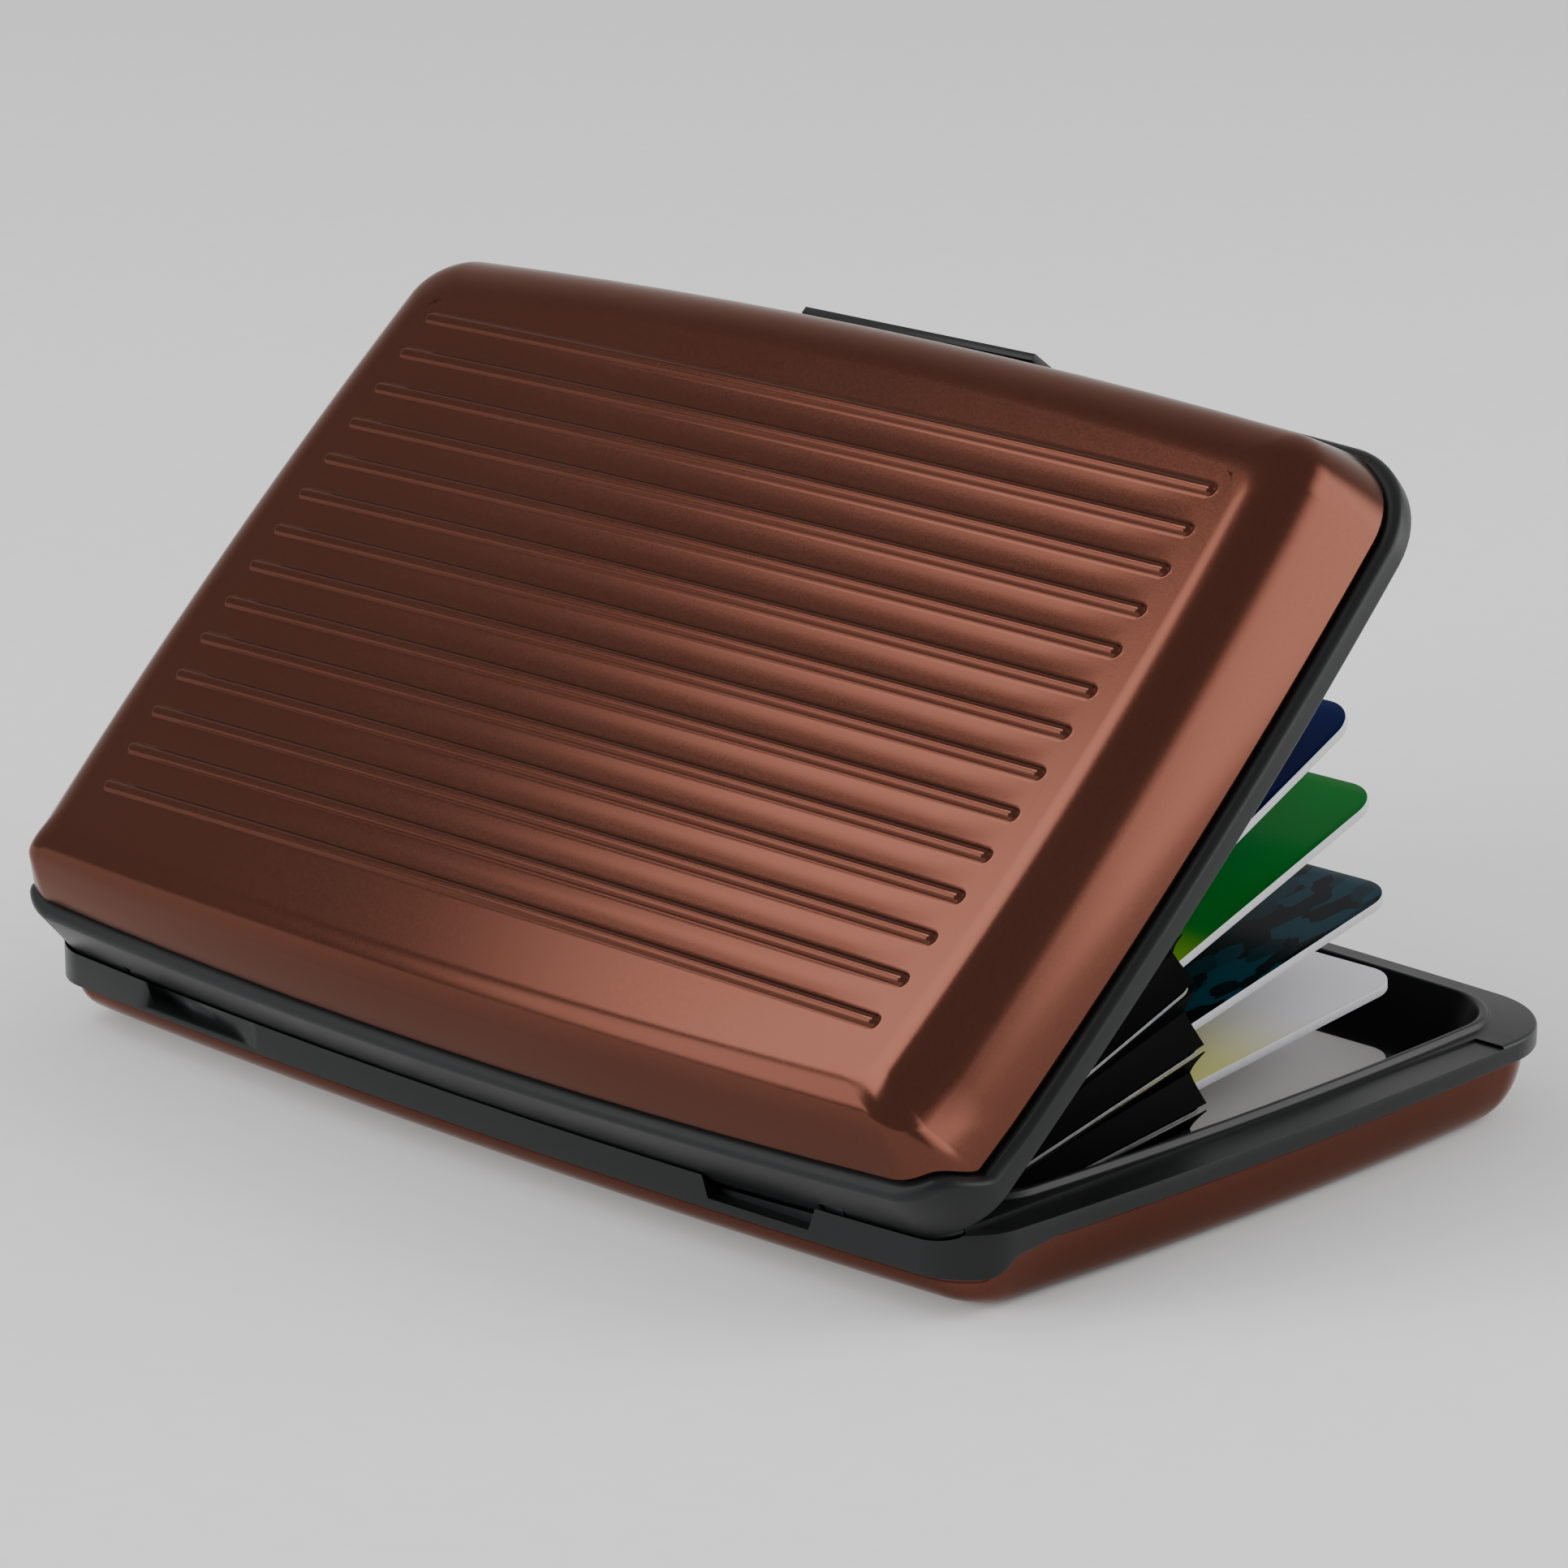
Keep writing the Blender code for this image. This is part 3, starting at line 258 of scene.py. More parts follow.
def ribbed_field(name, count, shift, height, crown_radius, margin, surface, up, sag):
    """One rib is drawn on a grid and arrayed over the sheet. Its edge keeps few points to knit to."""
    _, foot_radius, foot = rib_foot(height, crown_radius)
    across = [crown_radius * math.sin(RIB_WALL_TURN * step / CROWN_STEPS)
              for step in range(CROWN_STEPS + 1)]
    for step in range(FOOT_STEPS - 1, -1, -1):
        across.append(foot - foot_radius * math.sin(RIB_WALL_TURN * step / FOOT_STEPS))
    across += [foot + FOOT_LINE, (foot + RIB_PITCH / 2) / 2 + VALLEY_LINE]
    end_centre = RIB_REACH - foot
    wide = RIB_REACH + margin
    coarse = [wide * step / (LONG_STEPS // 2) for step in range(LONG_STEPS // 2 + 1)]
    near_end = [end_centre - back for back in END_LINES]
    end_round = [end_centre + station for station in across[:-1]]
    xs = sorted(set(coarse[:-1] + near_end + end_round))
    xs = [-x for x in reversed(xs) if x > 0] + xs
    xs = [-wide] + xs + [wide]
    ys = [-RIB_PITCH / 2] + [-y for y in reversed(across)] + across[1:] + [RIB_PITCH / 2]

    clear_bench()
    bpy.ops.mesh.primitive_grid_add(
        x_subdivisions=len(xs) - 1, y_subdivisions=len(ys) - 1, size=2, calc_uvs=False
    )
    field = new_piece(name)
    for vert in field.data.vertices:
        x = xs[round((vert.co.x + 1) / 2 * (len(xs) - 1))]
        y = ys[round((vert.co.y + 1) / 2 * (len(ys) - 1))]
        past = max(abs(x) - end_centre, 0)
        vert.co = (x, y, rib_height(math.hypot(past, y), height, crown_radius))

    copies = field.modifiers.new("ribs", "ARRAY")
    copies.count = count
    copies.use_relative_offset = False
    copies.use_constant_offset = True
    copies.constant_offset_displace = (0, RIB_PITCH, 0)
    copies.use_merge_vertices = True
    copies.merge_threshold = WELD
    bpy.ops.object.modifier_apply(modifier=copies.name)

    bpy.ops.object.mode_set(mode="EDIT")
    bpy.ops.mesh.select_all(action="DESELECT")
    shape = bmesh.from_edit_mesh(field.data)
    span = count * RIB_PITCH
    first = -RIB_PITCH / 2
    for vert in shape.verts:
        on_end = abs(abs(vert.co.x) - wide) < WELD
        on_side = min(vert.co.y - first, first + span - vert.co.y) < WELD
        strip = (vert.co.y - first) / RIB_PITCH
        on_strip_edge = abs(strip - round(strip)) < WELD / RIB_PITCH
        on_coarse = min(abs(abs(vert.co.x) - x) for x in coarse) < WELD
        vert.select = (on_end and not on_strip_edge) or (on_side and not on_coarse)
    shape.select_flush_mode()
    bmesh.update_edit_mesh(field.data)
    bpy.ops.mesh.dissolve_verts()

    # The ribs' ends follow the bow of the case's side, and the sheet sags a little between ribs
    shape = bmesh.from_edit_mesh(field.data)
    for vert in shape.verts:
        y = vert.co.y - first - span / 2
        reach = RIB_REACH + RIB_END_BOW * (1 - (y / RIB_SPAN) ** 2)
        inside = abs(y) < span / 2 - RIB_PITCH / 2
        ease = eased((end_centre - SAG_BACK - abs(vert.co.x)) / SAG_EASE)
        wave = (1 - math.cos(math.tau * vert.co.y / RIB_PITCH)) / 2
        dip = sag * ease * wave if inside else 0.0
        vert.co.x *= reach / RIB_REACH
        vert.co.y = y + shift
        vert.co.z = surface(vert.co.x) + up * (vert.co.z - dip)
    bmesh.update_edit_mesh(field.data)
    bpy.ops.object.mode_set(mode="OBJECT")
    return field


def knit_field(piece, field, ring):
    """Joins the field to the piece and fills between the ring and the field's edge."""
    bpy.ops.object.mode_set(mode="OBJECT")
    clear_bench()
    field.select_set(True)
    piece.select_set(True)
    bpy.context.view_layer.objects.active = piece
    bpy.ops.object.join()
    bpy.ops.object.mode_set(mode="EDIT")
    shape = bmesh.from_edit_mesh(piece.data)
    place = shape.verts.layers.int["place"]
    outer = {}
    rim = []
    for vert in shape.verts:
        if not vert.is_boundary:
            continue
        if (vert.co - ring[vert[place]]).length < WELD:
            outer[vert[place]] = vert
        else:
            rim.append(vert)
    reach_x = max(abs(vert.co.x) for vert in rim)
    high_y = max(vert.co.y for vert in rim)
    low_y = min(vert.co.y for vert in rim)
    arc_start = SHORT_STEPS // 2
    straight_y = ring[arc_start].y
    straight_x = ring[arc_start + CORNER_STEPS].x

    def beside(point):
        x = min(max(point.x / straight_x, -1), 1) * reach_x
        share = (min(max(point.y / straight_y, -1), 1) + 1) / 2
        y = low_y + (high_y - low_y) * share
        return min(rim, key=lambda vert: (vert.co.x - x) ** 2 + (vert.co.y - y) ** 2)

    partners = [beside(point) for point in ring]
    for k in range(len(ring)):
        after = (k + 1) % len(ring)
        corners = [outer[k], outer[after], partners[after]]
        if partners[after] != partners[k]:
            corners.append(partners[k])
        shape.faces.new(corners)
    bmesh.update_edit_mesh(piece.data)


def face_outwards():
    """Turns the faces of the closed body in edit mode outwards, and leaves edit mode."""
    bpy.ops.mesh.select_all(action="SELECT")
    bpy.ops.mesh.normals_make_consistent(inside=False)
    bpy.ops.object.mode_set(mode="OBJECT")


def smooth(piece, degrees):
    """Smooths a piece, but for edges that turn by more than this. Edges once kept sharp stay so."""
    clear_bench()
    piece.select_set(True)
    bpy.ops.object.shade_smooth_by_angle(angle=math.radians(degrees))


def hex_colour(text):
    """An sRGB hex colour as linear numbers."""
    values = [int(text[place:place + 2], 16) / 255 for place in (0, 2, 4)]
    linear = [v / 12.92 if v <= 0.04045 else ((v + 0.055) / 1.055) ** 2.4 for v in values]
    return (*linear, 1.0)


def set_inputs(tree, node, inputs):
    """Links each input that is named to another node's output, or sets its value."""
    for socket, value in inputs.items():
        if isinstance(value, bpy.types.NodeSocket):
            tree.links.new(value, node.inputs[socket])
        else:
            node.inputs[socket].default_value = value


def add_node(tree, kind, inputs, **settings):
    """Adds a node with its settings, links and values."""
    node = tree.nodes.new("ShaderNode" + kind)
    for key, value in settings.items():
        setattr(node, key, value)
    set_inputs(tree, node, inputs)
    return node


def new_material(name, uv_map=None):
    """A material, its tree, its shader, and the place on the piece: as it lies, or on a UV map."""
    material = bpy.data.materials.new(name)
    material.use_nodes = True
    tree = material.node_tree
    if uv_map:
        where = add_node(tree, "UVMap", {}, uv_map=uv_map).outputs["UV"]
    else:
        where = add_node(tree, "TexCoord", {}).outputs["Object"]
    return material, tree, tree.nodes["Principled BSDF"], where


# The Mix node's colour sockets, which share their names with its sockets for numbers
MIX_A = 6
MIX_B = 7
MIX_RESULT = 2


def mottled(tree, where, size, detail, dark, light):
    """Two tones in soft patches of a size. Gives the patches as a number, and their colour."""
    patches = add_node(tree, "TexNoise", {"Vector": where, "Scale": 1 / size, "Detail": detail})
    tone = add_node(tree, "Mix", {"Factor": patches.outputs["Fac"], MIX_A: hex_colour(dark),
                                  MIX_B: hex_colour(light)}, data_type="RGBA")
    return patches.outputs["Fac"], tone.outputs[MIX_RESULT]


# Anodised aluminium, bead blasted before it was dyed: a satin brown metal whose fine grain
# spreads each reflection a little. The real grain is 0.05 mm, drawn at 0.2 mm so that it shows.
anodised, tree, shader, where = new_material("brown_anodised_aluminium")
grain = add_node(tree, "TexNoise", {"Vector": where, "Scale": 1 / (0.2 * MM), "Detail": 3.0})
_, dye = mottled(tree, where, 30 * MM, 2.0, "5A352B", "623D33")
fleck = add_node(tree, "MapRange", {"Value": grain.outputs["Fac"], "From Min": 0.3,
                                    "From Max": 0.7, "To Min": 0.94, "To Max": 1.04})
tint = add_node(tree, "VectorMath", {0: dye, "Scale": fleck.outputs["Result"]}, operation="SCALE")
gloss = add_node(tree, "MapRange", {"Value": grain.outputs["Fac"], "From Min": 0.3,
                                    "From Max": 0.7, "To Min": 0.15, "To Max": 0.2})
pits = add_node(tree, "Bump", {"Height": grain.outputs["Fac"], "Strength": 0.12,
                               "Distance": 0.01 * MM})
set_inputs(tree, shader, {
    "Metallic": 1.0, "Specular Tint": hex_colour("EEE2DD"), "Base Color": tint.outputs["Vector"],
    "Roughness": gloss.outputs["Result"], "Normal": pits.outputs["Normal"],
})

# The skin's trimmed edge, painted much lighter than the anodised face: a thin pale line of painted
# highlight
edge_highlight, tree, shader, where = new_material("aluminium_edge_painted_highlight")
_, pale = mottled(tree, where, 0.5 * MM, 2.0, "B58674", "D3A895")
set_inputs(tree, shader, {"Metallic": 1.0, "Roughness": 0.32, "Base Color": pale})

# The trimmed edge's rings: the inset of each, and how many edge roundings it lies behind the edge
TRIMMED_EDGE = (
    (SKIN_WALL, 0), (SKIN_WALL - CUT_EDGE_ROUND, 0), (CUT_EDGE_ROUND, 0),
    (0.3 * CUT_EDGE_ROUND, 0.3), (0, 1), (0, 3),
)


def skin_rings(edge, edge_up, wall, start, flat):
    """A sheet's rings from its inner flat, over its trimmed edge, to its outer flat.

    wall gives the ring for a turn round the bend, at a depth under the outer face.
    """
    turns = [start + (math.pi / 2 - start) * step / BEND_STEPS for step in range(BEND_STEPS + 1)]
    rings = [wall(turn, SKIN_WALL) for turn in reversed(turns)]
    for inset, back in TRIMMED_EDGE:
        rings.append(case_ring(
            lambda p, rim: edge(rim.y) + edge_up * back * CUT_EDGE_ROUND, SKIN_INSET + inset
        ))
    rings += [wall(turn, 0.0) for turn in turns]
    rings.append(flat)
    return rings


def paint_trimmed_edge(piece, face_material, edge_material):
    """Gives the sheet's trimmed edge, the first rings after its inner face, its own material."""
    piece.data.materials.append(face_material)
    piece.data.materials.append(edge_material)
    levels = [entry.value for entry in piece.data.attributes["level"].data]
    last = BEND_STEPS + len(TRIMMED_EDGE) - 1
    for face in piece.data.polygons:
        face_levels = [levels[index] for index in face.vertices]
        on_edge = min(face_levels) > BEND_STEPS and max(face_levels) <= last
        face.material_index = 1 if on_edge else 0


def base_wall(turn, wall, underside=BASE_SKIN_UNDERSIDE, lift=0.0):
    """A ring round the bend: wide under the hinge, less under the clasp and tight along the ends."""
    inset = SKIN_INSET + wall
    bottom = underside + wall
    in_turn = 1 - math.cos(turn)
    return case_ring(
        lambda p, rim: base_edge(rim.y) + lift - math.sin(turn) * (base_edge(rim.y) + lift - bottom),
        inset + (BASE_SIDE_BEND - wall) * in_turn,
        inset + (BASE_HINGE_BEND - wall) * in_turn,
        inset + (BASE_CLASP_BEND - wall) * in_turn,
    )


base_flat = case_ring(
    BASE_SKIN_UNDERSIDE, SKIN_INSET + BASE_SIDE_BEND + FLAT_MARGIN,
    SKIN_INSET + BASE_HINGE_BEND + FLAT_MARGIN, SKIN_INSET + BASE_CLASP_BEND + FLAT_MARGIN,
)
base_rings = skin_rings(base_edge, -1, base_wall, 0.0, base_flat)
base_skin = swept("base_skin", base_rings)
close_with_rungs(base_skin, base_rings[0])
base_field = ribbed_field(
    "base_ribs", BASE_RIB_COUNT, 0.0, BASE_RIB_HEIGHT, BASE_RIB_CROWN, BASE_FIELD_MARGIN,
    lambda x: BASE_SKIN_UNDERSIDE, -1, 0.0,
)
knit_field(base_skin, base_field, base_flat)
face_outwards()
smooth(base_skin, degrees=40)
paint_trimmed_edge(base_skin, anodised, edge_highlight)
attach(base_skin, "base")
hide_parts("lower_shell")


# Base frame
# Injection moulded black ABS: the tray, the flange with its lip, the trough for the lid's barrel
# and four ears that hold the hinge pins. The base skin is glued to its underside.

PARTING_HEIGHT = 7.74 * MM
HINGE_Y = -34.74 * MM
HINGE_Z = PARTING_HEIGHT
FLANGE_TOP = 7.64 * MM
FLANGE_ROUND = 0.3 * MM
FLANGE_STEPS = 4
SKIN_EDGE_GAP = 0.35 * MM
FRAME_INSET = 1.98 * MM
TRAY_UNDERSIDE = 1.0 * MM
TRAY_SIDE = 4.6 * MM
TRAY_NEAR = 7.22 * MM
TRAY_FAR = 3.3 * MM
TRAY_CORNER = 6.0 * MM
BARREL_TIP = 0.02 * MM
BARREL_STEPS = 72
TROUGH_CLEARANCE = 0.3 * MM
SLOT_CENTRE = 32.8 * MM
SLOT_HALF = 6.25 * MM
SLOT_FLOOR = 4.75 * MM
SLOT_DEPTH = 2.0 * MM
SLOT_SLANT = 1.1 * MM
EAR_RADIUS = 1.9 * MM
EAR_THICKNESS = 2.0 * MM
EAR_SHIFT = 7.55 * MM
EAR_BANK = 3.56 * MM
PIN_BORE = 0.92 * MM
PIN_BORE_LENGTH = 17.7 * MM
RECESS_HALF = 13.3 * MM
RECESS_BACK = 35.95 * MM
RECESS_FLOOR = 5.9 * MM
CATCH_DEPTH = 0.55 * MM
CATCH_TOP = 7.19 * MM
SIDE_STEP_WIDTH = 3.6 * MM
SIDE_STEP_DEPTH = 0.22 * MM
SIDE_STEP_END = 26.0 * MM
OVERRUN = 1.0 * MM


def cut(piece, tool, operation="DIFFERENCE"):
    """Cuts a tool from a piece, or joins it on, and takes the tool away."""
    clear_bench()
    bpy.context.view_layer.objects.active = piece
    step = piece.modifiers.new("cut", "BOOLEAN")
    step.operation = operation
    step.solver = "EXACT"
    step.object = tool
    bpy.ops.object.modifier_apply(modifier=step.name)
    bpy.data.objects.remove(tool)


def block(low, high, foot_slant=0.0):
    """A block between two corners. The slant draws its foot in at both ends."""
    clear_bench()
    bpy.ops.mesh.primitive_cube_add(size=1)
    piece = bpy.context.object
    for vert in piece.data.vertices:
        at_foot = vert.co.z < 0
        sign = math.copysign(1, vert.co.x)
        for axis in range(3):
            vert.co[axis] = high[axis] if vert.co[axis] > 0 else low[axis]
        if at_foot:
            vert.co.x -= sign * foot_slant
    return piece


def rod(x, y, z, radius, length, steps=40):
    """A round rod along X."""
    clear_bench()
    bpy.ops.mesh.primitive_cylinder_add(
        vertices=steps, radius=radius, depth=length, location=(x, y, z), rotation=(0, math.pi / 2, 0)
    )
    bpy.ops.object.transform_apply(location=True, rotation=True, scale=True)
    return bpy.context.object


def turned_edge(name, clearance):
    """The case's long edge spun about the hinge's axis: the lid's barrel, or the trough for it."""
    rim = case_ring(0, 0)
    behind = sorted((point for point in rim if point.y < HINGE_Y), key=lambda point: point.x)
    stations = [(behind[0].x - clearance, BARREL_TIP)]
    stations += [(point.x, HINGE_Y - point.y + clearance) for point in behind]
    stations += [(behind[-1].x + clearance, BARREL_TIP)]
    turns = [math.tau * step / BARREL_STEPS for step in range(BARREL_STEPS)]
    piece = swept(name, [
        [Vector((x, HINGE_Y + radius * math.cos(turn), HINGE_Z + radius * math.sin(turn)))
         for turn in turns]
        for x, radius in stations
    ])
    # The second pass closes an end that the first one leaves open
    for _ in range(2):
        bpy.ops.mesh.select_all(action="DESELECT")
        bpy.ops.mesh.select_non_manifold(extend=False)
        bpy.ops.mesh.edge_face_add()
    face_outwards()
    return piece


def ear_places():
    return [side * SLOT_CENTRE + end * EAR_SHIFT for side in (-1, 1) for end in (-1, 1)]


def flange_bend(height, up):
    """Rings over a flange's moulded edge, from its side to its flat."""
    turns = [math.pi / 2 * step / FLANGE_STEPS for step in range(FLANGE_STEPS + 1)]
    return [case_ring(height - up * FLANGE_ROUND * (1 - math.sin(turn)),
                      FLANGE_ROUND * (1 - math.cos(turn))) for turn in turns]


# Moulded ABS with a fine spark-eroded texture: a soft charcoal sheen that breaks up at 0.25 mm
black_abs, tree, shader, where = new_material("black_moulded_abs")
spark = add_node(tree, "TexNoise", {"Vector": where, "Scale": 1 / (0.25 * MM), "Detail": 2.0})
wear, black = mottled(tree, where, 12 * MM, 4.0, "101112", "161718")
gloss = add_node(tree, "MapRange", {"Value": wear, "From Min": 0.3, "From Max": 0.7,
                                    "To Min": 0.32, "To Max": 0.4})
dimple = add_node(tree, "Bump", {"Height": spark.outputs["Fac"], "Strength": 0.15,
                                 "Distance": 0.02 * MM})
set_inputs(tree, shader, {
    "IOR": 1.54, "Specular IOR Level": 0.22, "Base Color": black,
    "Roughness": gloss.outputs["Result"], "Normal": dimple.outputs["Normal"],
})

# Sections in millimetres. The band's lower edge: inset and rise. The lip: height, and shift from the
# tray's wall, outwards below 0. The tray's foot: height, shift inwards, and the corner's radius.
band_profile = ((0.16, 0.0), (0.05, 0.05), (0.0, 0.16))
lip_profile = (
    (7.64, -0.95), (7.66, -0.83), (7.74, -0.74), (8.0, -0.66), (8.11, -0.62), (8.18, -0.54),
    (8.2, -0.44), (8.2, -0.32), (8.17, -0.21), (8.1, -0.14), (7.98, -0.1), (7.64, 0.0),
)
tray_profile = (
    (2.6, 1.4, 5.4), (2.17, 1.52, 5.3), (1.83, 1.78, 5.2), (1.6, 2.15, 5.0), (1.5, 2.6, 4.8),
    (1.5, 2.9, 4.6),
)
base_frame_rings = [
    base_wall(math.pi / 2 * step / BEND_STEPS, FRAME_INSET - SKIN_INSET,
              TRAY_UNDERSIDE - FRAME_INSET + SKIN_INSET, SKIN_EDGE_GAP)
    for step in range(BEND_STEPS, -1, -1)
]
for inset, rise in band_profile:
    base_frame_rings.append(case_ring(
        lambda p, rim: base_edge(rim.y) + SKIN_EDGE_GAP + rise * MM, inset * MM
    ))
base_frame_rings += flange_bend(FLANGE_TOP, 1)
for height, shift in lip_profile:
    shift *= MM
    base_frame_rings.append(case_ring(height * MM, TRAY_SIDE + shift, TRAY_NEAR + shift,
                                      TRAY_FAR + shift, TRAY_CORNER, near_bow=0.0))
for height, shift, corner in tray_profile:
    shift *= MM
    base_frame_rings.append(case_ring(height * MM, TRAY_SIDE + shift, TRAY_NEAR,
                                      TRAY_FAR + shift, corner * MM, near_bow=0.0))
base_frame = swept("base_frame", base_frame_rings)
close_with_rungs(base_frame, base_frame_rings[0])
close_with_rungs(base_frame, base_frame_rings[-1])
face_outwards()
smooth(base_frame, degrees=35)

cut(base_frame, turned_edge("trough", TROUGH_CLEARANCE))
for side in (-1, 1):
    low = (side * SLOT_CENTRE - SLOT_HALF, -HALF_WIDTH - OVERRUN, SLOT_FLOOR)
    high = (side * SLOT_CENTRE + SLOT_HALF, SLOT_DEPTH - HALF_WIDTH, PARTING_HEIGHT)
    cut(base_frame, block(low, high, SLOT_SLANT))
    # The flange is stepped down along each short side, from the hinge to near the far corner
    left, right = sorted((side * (HALF_LENGTH - SIDE_STEP_WIDTH), side * (HALF_LENGTH + OVERRUN)))
    cut(base_frame, block((left, -HALF_WIDTH - OVERRUN, FLANGE_TOP - SIDE_STEP_DEPTH),
                          (right, SIDE_STEP_END, FLANGE_TOP + OVERRUN)))
# The clasp's recess, and under its back edge the catch for the clasp's nose
cut(base_frame, block((-RECESS_HALF, RECESS_BACK, RECESS_FLOOR),
                      (RECESS_HALF, HALF_WIDTH + OVERRUN, FLANGE_TOP + OVERRUN)))
cut(base_frame, block((-RECESS_HALF, RECESS_BACK - CATCH_DEPTH, RECESS_FLOOR),
                      (RECESS_HALF, RECESS_BACK + OVERRUN, CATCH_TOP)))
for x in ear_places():
    cut(base_frame, rod(x, HINGE_Y, HINGE_Z, EAR_RADIUS, EAR_THICKNESS), "UNION")
    cut(base_frame, block((x - EAR_THICKNESS / 2, HINGE_Y, HINGE_Z - EAR_RADIUS),
                          (x + EAR_THICKNESS / 2, HINGE_Y + EAR_BANK, FLANGE_TOP)), "UNION")
for side in (-1, 1):
    cut(base_frame, rod(side * SLOT_CENTRE, HINGE_Y, HINGE_Z, PIN_BORE, PIN_BORE_LENGTH))
base_frame.data.validate()
smooth(base_frame, degrees=35)
base_frame.data.materials.append(black_abs)
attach(base_frame, "base")
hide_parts("lower_frame")


# Hinge pins and the clasp's pin
# Three cut lengths of drawn steel wire: two pressed through the base's ears and the lid's barrel,
# and one through the clasp. They hardly show, so they are the CAD's own nodes, given the steel.

# Drawn steel wire: bright, with faint lines along it at 0.1 mm
steel, tree, shader, where = new_material("drawn_steel_wire")
along = add_node(tree, "Mapping", {"Vector": where, "Scale": (0.04, 1.0, 1.0)})
drawn, shine = mottled(tree, along.outputs["Vector"], 0.1 * MM, 2.0, "A9A9AB", "C6C7C9")
gloss = add_node(tree, "MapRange", {"Value": drawn, "To Min": 0.22, "To Max": 0.38})
set_inputs(tree, shader, {"Metallic": 1.0, "Base Color": shine,
                          "Roughness": gloss.outputs["Result"]})
for name in ("hinge_pin_left", "hinge_pin_right", "latch_pin"):
    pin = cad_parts[name]
    pin.data.materials.clear()
    pin.data.materials.append(steel)


# Lid skin
# The upper outer skin, the same drawn aluminium with 14 long ribs, a crown along its length and a
# trimmed edge that rises over the hinge. It is glued over the lid frame.

LID_OPEN_ANGLE = math.radians(42.25)
LID_TOP = 19.4 * MM
LID_EDGE_HEIGHT = 10.45 * MM
LID_EDGE_RISE = 3.35 * MM
LID_RISE_START = 7.3 * MM
LID_RISE_LENGTH = 4.3 * MM
LID_WALL_LEAN = math.radians(17)
LID_BEND_DROP = 5.0 * MM
LID_HINGE_DROP = 2.8 * MM
LID_DROP_START = 8.0 * MM
LID_DROP_LENGTH = 6.0 * MM
LID_SIDE_BEND = 5.0 * MM
LID_HINGE_BEND = 3.2 * MM
LID_CLASP_BEND = 6.0 * MM
LID_SIDE_FLAT = 7.57 * MM
LID_HINGE_FLAT = 5.75 * MM
LID_CLASP_FLAT = 9.1 * MM
LID_CROWN = 0.65 * MM
LID_RIB_COUNT = 14
LID_RIB_SHIFT = -0.67 * MM
LID_RIB_HEIGHT = 0.42 * MM
LID_RIB_CROWN = 0.62 * MM
LID_FIELD_MARGIN = 0.45 * MM
LID_SAG = 0.05 * MM


def lid_edge(y):
    return LID_EDGE_HEIGHT + LID_EDGE_RISE * edge_ramp(y, LID_RISE_START, LID_RISE_LENGTH)


def lid_crown(x):
    return LID_CROWN * (1 - (x / RIB_REACH) ** 2)


def lid_wall(turn, wall):
    """A ring round the bend. Each side's walls lean in, and its bend has a radius of its own."""
    share = math.sin(turn) ** 2

    def height(p, rim):
        ramp = edge_ramp(rim.y, LID_DROP_START, LID_DROP_LENGTH)
        drop = LID_BEND_DROP + (LID_HINGE_DROP - LID_BEND_DROP) * ramp
        return LID_TOP - drop + (drop - wall) * math.sin(turn) + share * lid_crown(p.x)

    return case_ring(
        height,
        LID_SIDE_FLAT - (LID_SIDE_BEND - wall) * math.cos(turn),
        LID_HINGE_FLAT - (LID_HINGE_BEND - wall) * math.cos(turn),
        LID_CLASP_FLAT - (LID_CLASP_BEND - wall) * math.cos(turn),
    )


def turn_about_hinge(piece, turn):
    """Turns a mesh about the hinge's axis. With no window transform.rotate turns the other way."""
    clear_bench()
    piece.select_set(True)
    bpy.context.view_layer.objects.active = piece
    bpy.ops.object.mode_set(mode="EDIT")
    bpy.ops.mesh.select_all(action="SELECT")
    bpy.ops.transform.rotate(
        value=-turn, orient_axis="X", orient_type="GLOBAL", center_override=(0, HINGE_Y, HINGE_Z)
    )
    bpy.ops.object.mode_set(mode="OBJECT")


lid_flat = case_ring(
    lambda p, rim: LID_TOP + lid_crown(p.x), LID_SIDE_FLAT + FLAT_MARGIN,
    LID_HINGE_FLAT + FLAT_MARGIN, LID_CLASP_FLAT + FLAT_MARGIN,
)
lid_rings = skin_rings(lid_edge, 1, lid_wall, LID_WALL_LEAN, lid_flat)
lid_skin = swept("lid_skin", lid_rings)
close_with_rungs(lid_skin, lid_rings[0])
lid_field = ribbed_field(
    "lid_ribs", LID_RIB_COUNT, LID_RIB_SHIFT, LID_RIB_HEIGHT, LID_RIB_CROWN, LID_FIELD_MARGIN,
    lambda x: LID_TOP + lid_crown(x), 1, LID_SAG,
)
knit_field(lid_skin, lid_field, lid_flat)
face_outwards()
smooth(lid_skin, degrees=40)
turn_about_hinge(lid_skin, LID_OPEN_ANGLE)
paint_trimmed_edge(lid_skin, anodised, edge_highlight)
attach(lid_skin, "lid")
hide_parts("upper_shell")


# Lid frame
# The same black ABS: a band round the lid, its shallow tray, and the barrel along the hinge that
# rolls in the base's trough, with pockets for the ears. The lid skin is glued over it.

LID_FLANGE = 7.84 * MM
BAND_LEDGE = 0.88 * MM
BAND_FALL = 0.7 * MM
BAND_STEPS = 6
EAR_CLEARANCE = 0.3 * MM
POCKET_BACK = 1.1 * MM
POCKET_TOP = 0.15 * MM
LID_RECESS_TOP = 12.8 * MM
CLASP_PIN_Y = 36.9 * MM
CLASP_PIN_Z = 9.2 * MM
CLASP_PIN_BORE = 0.46 * MM
CLASP_PIN_BORE_LENGTH = 29.6 * MM

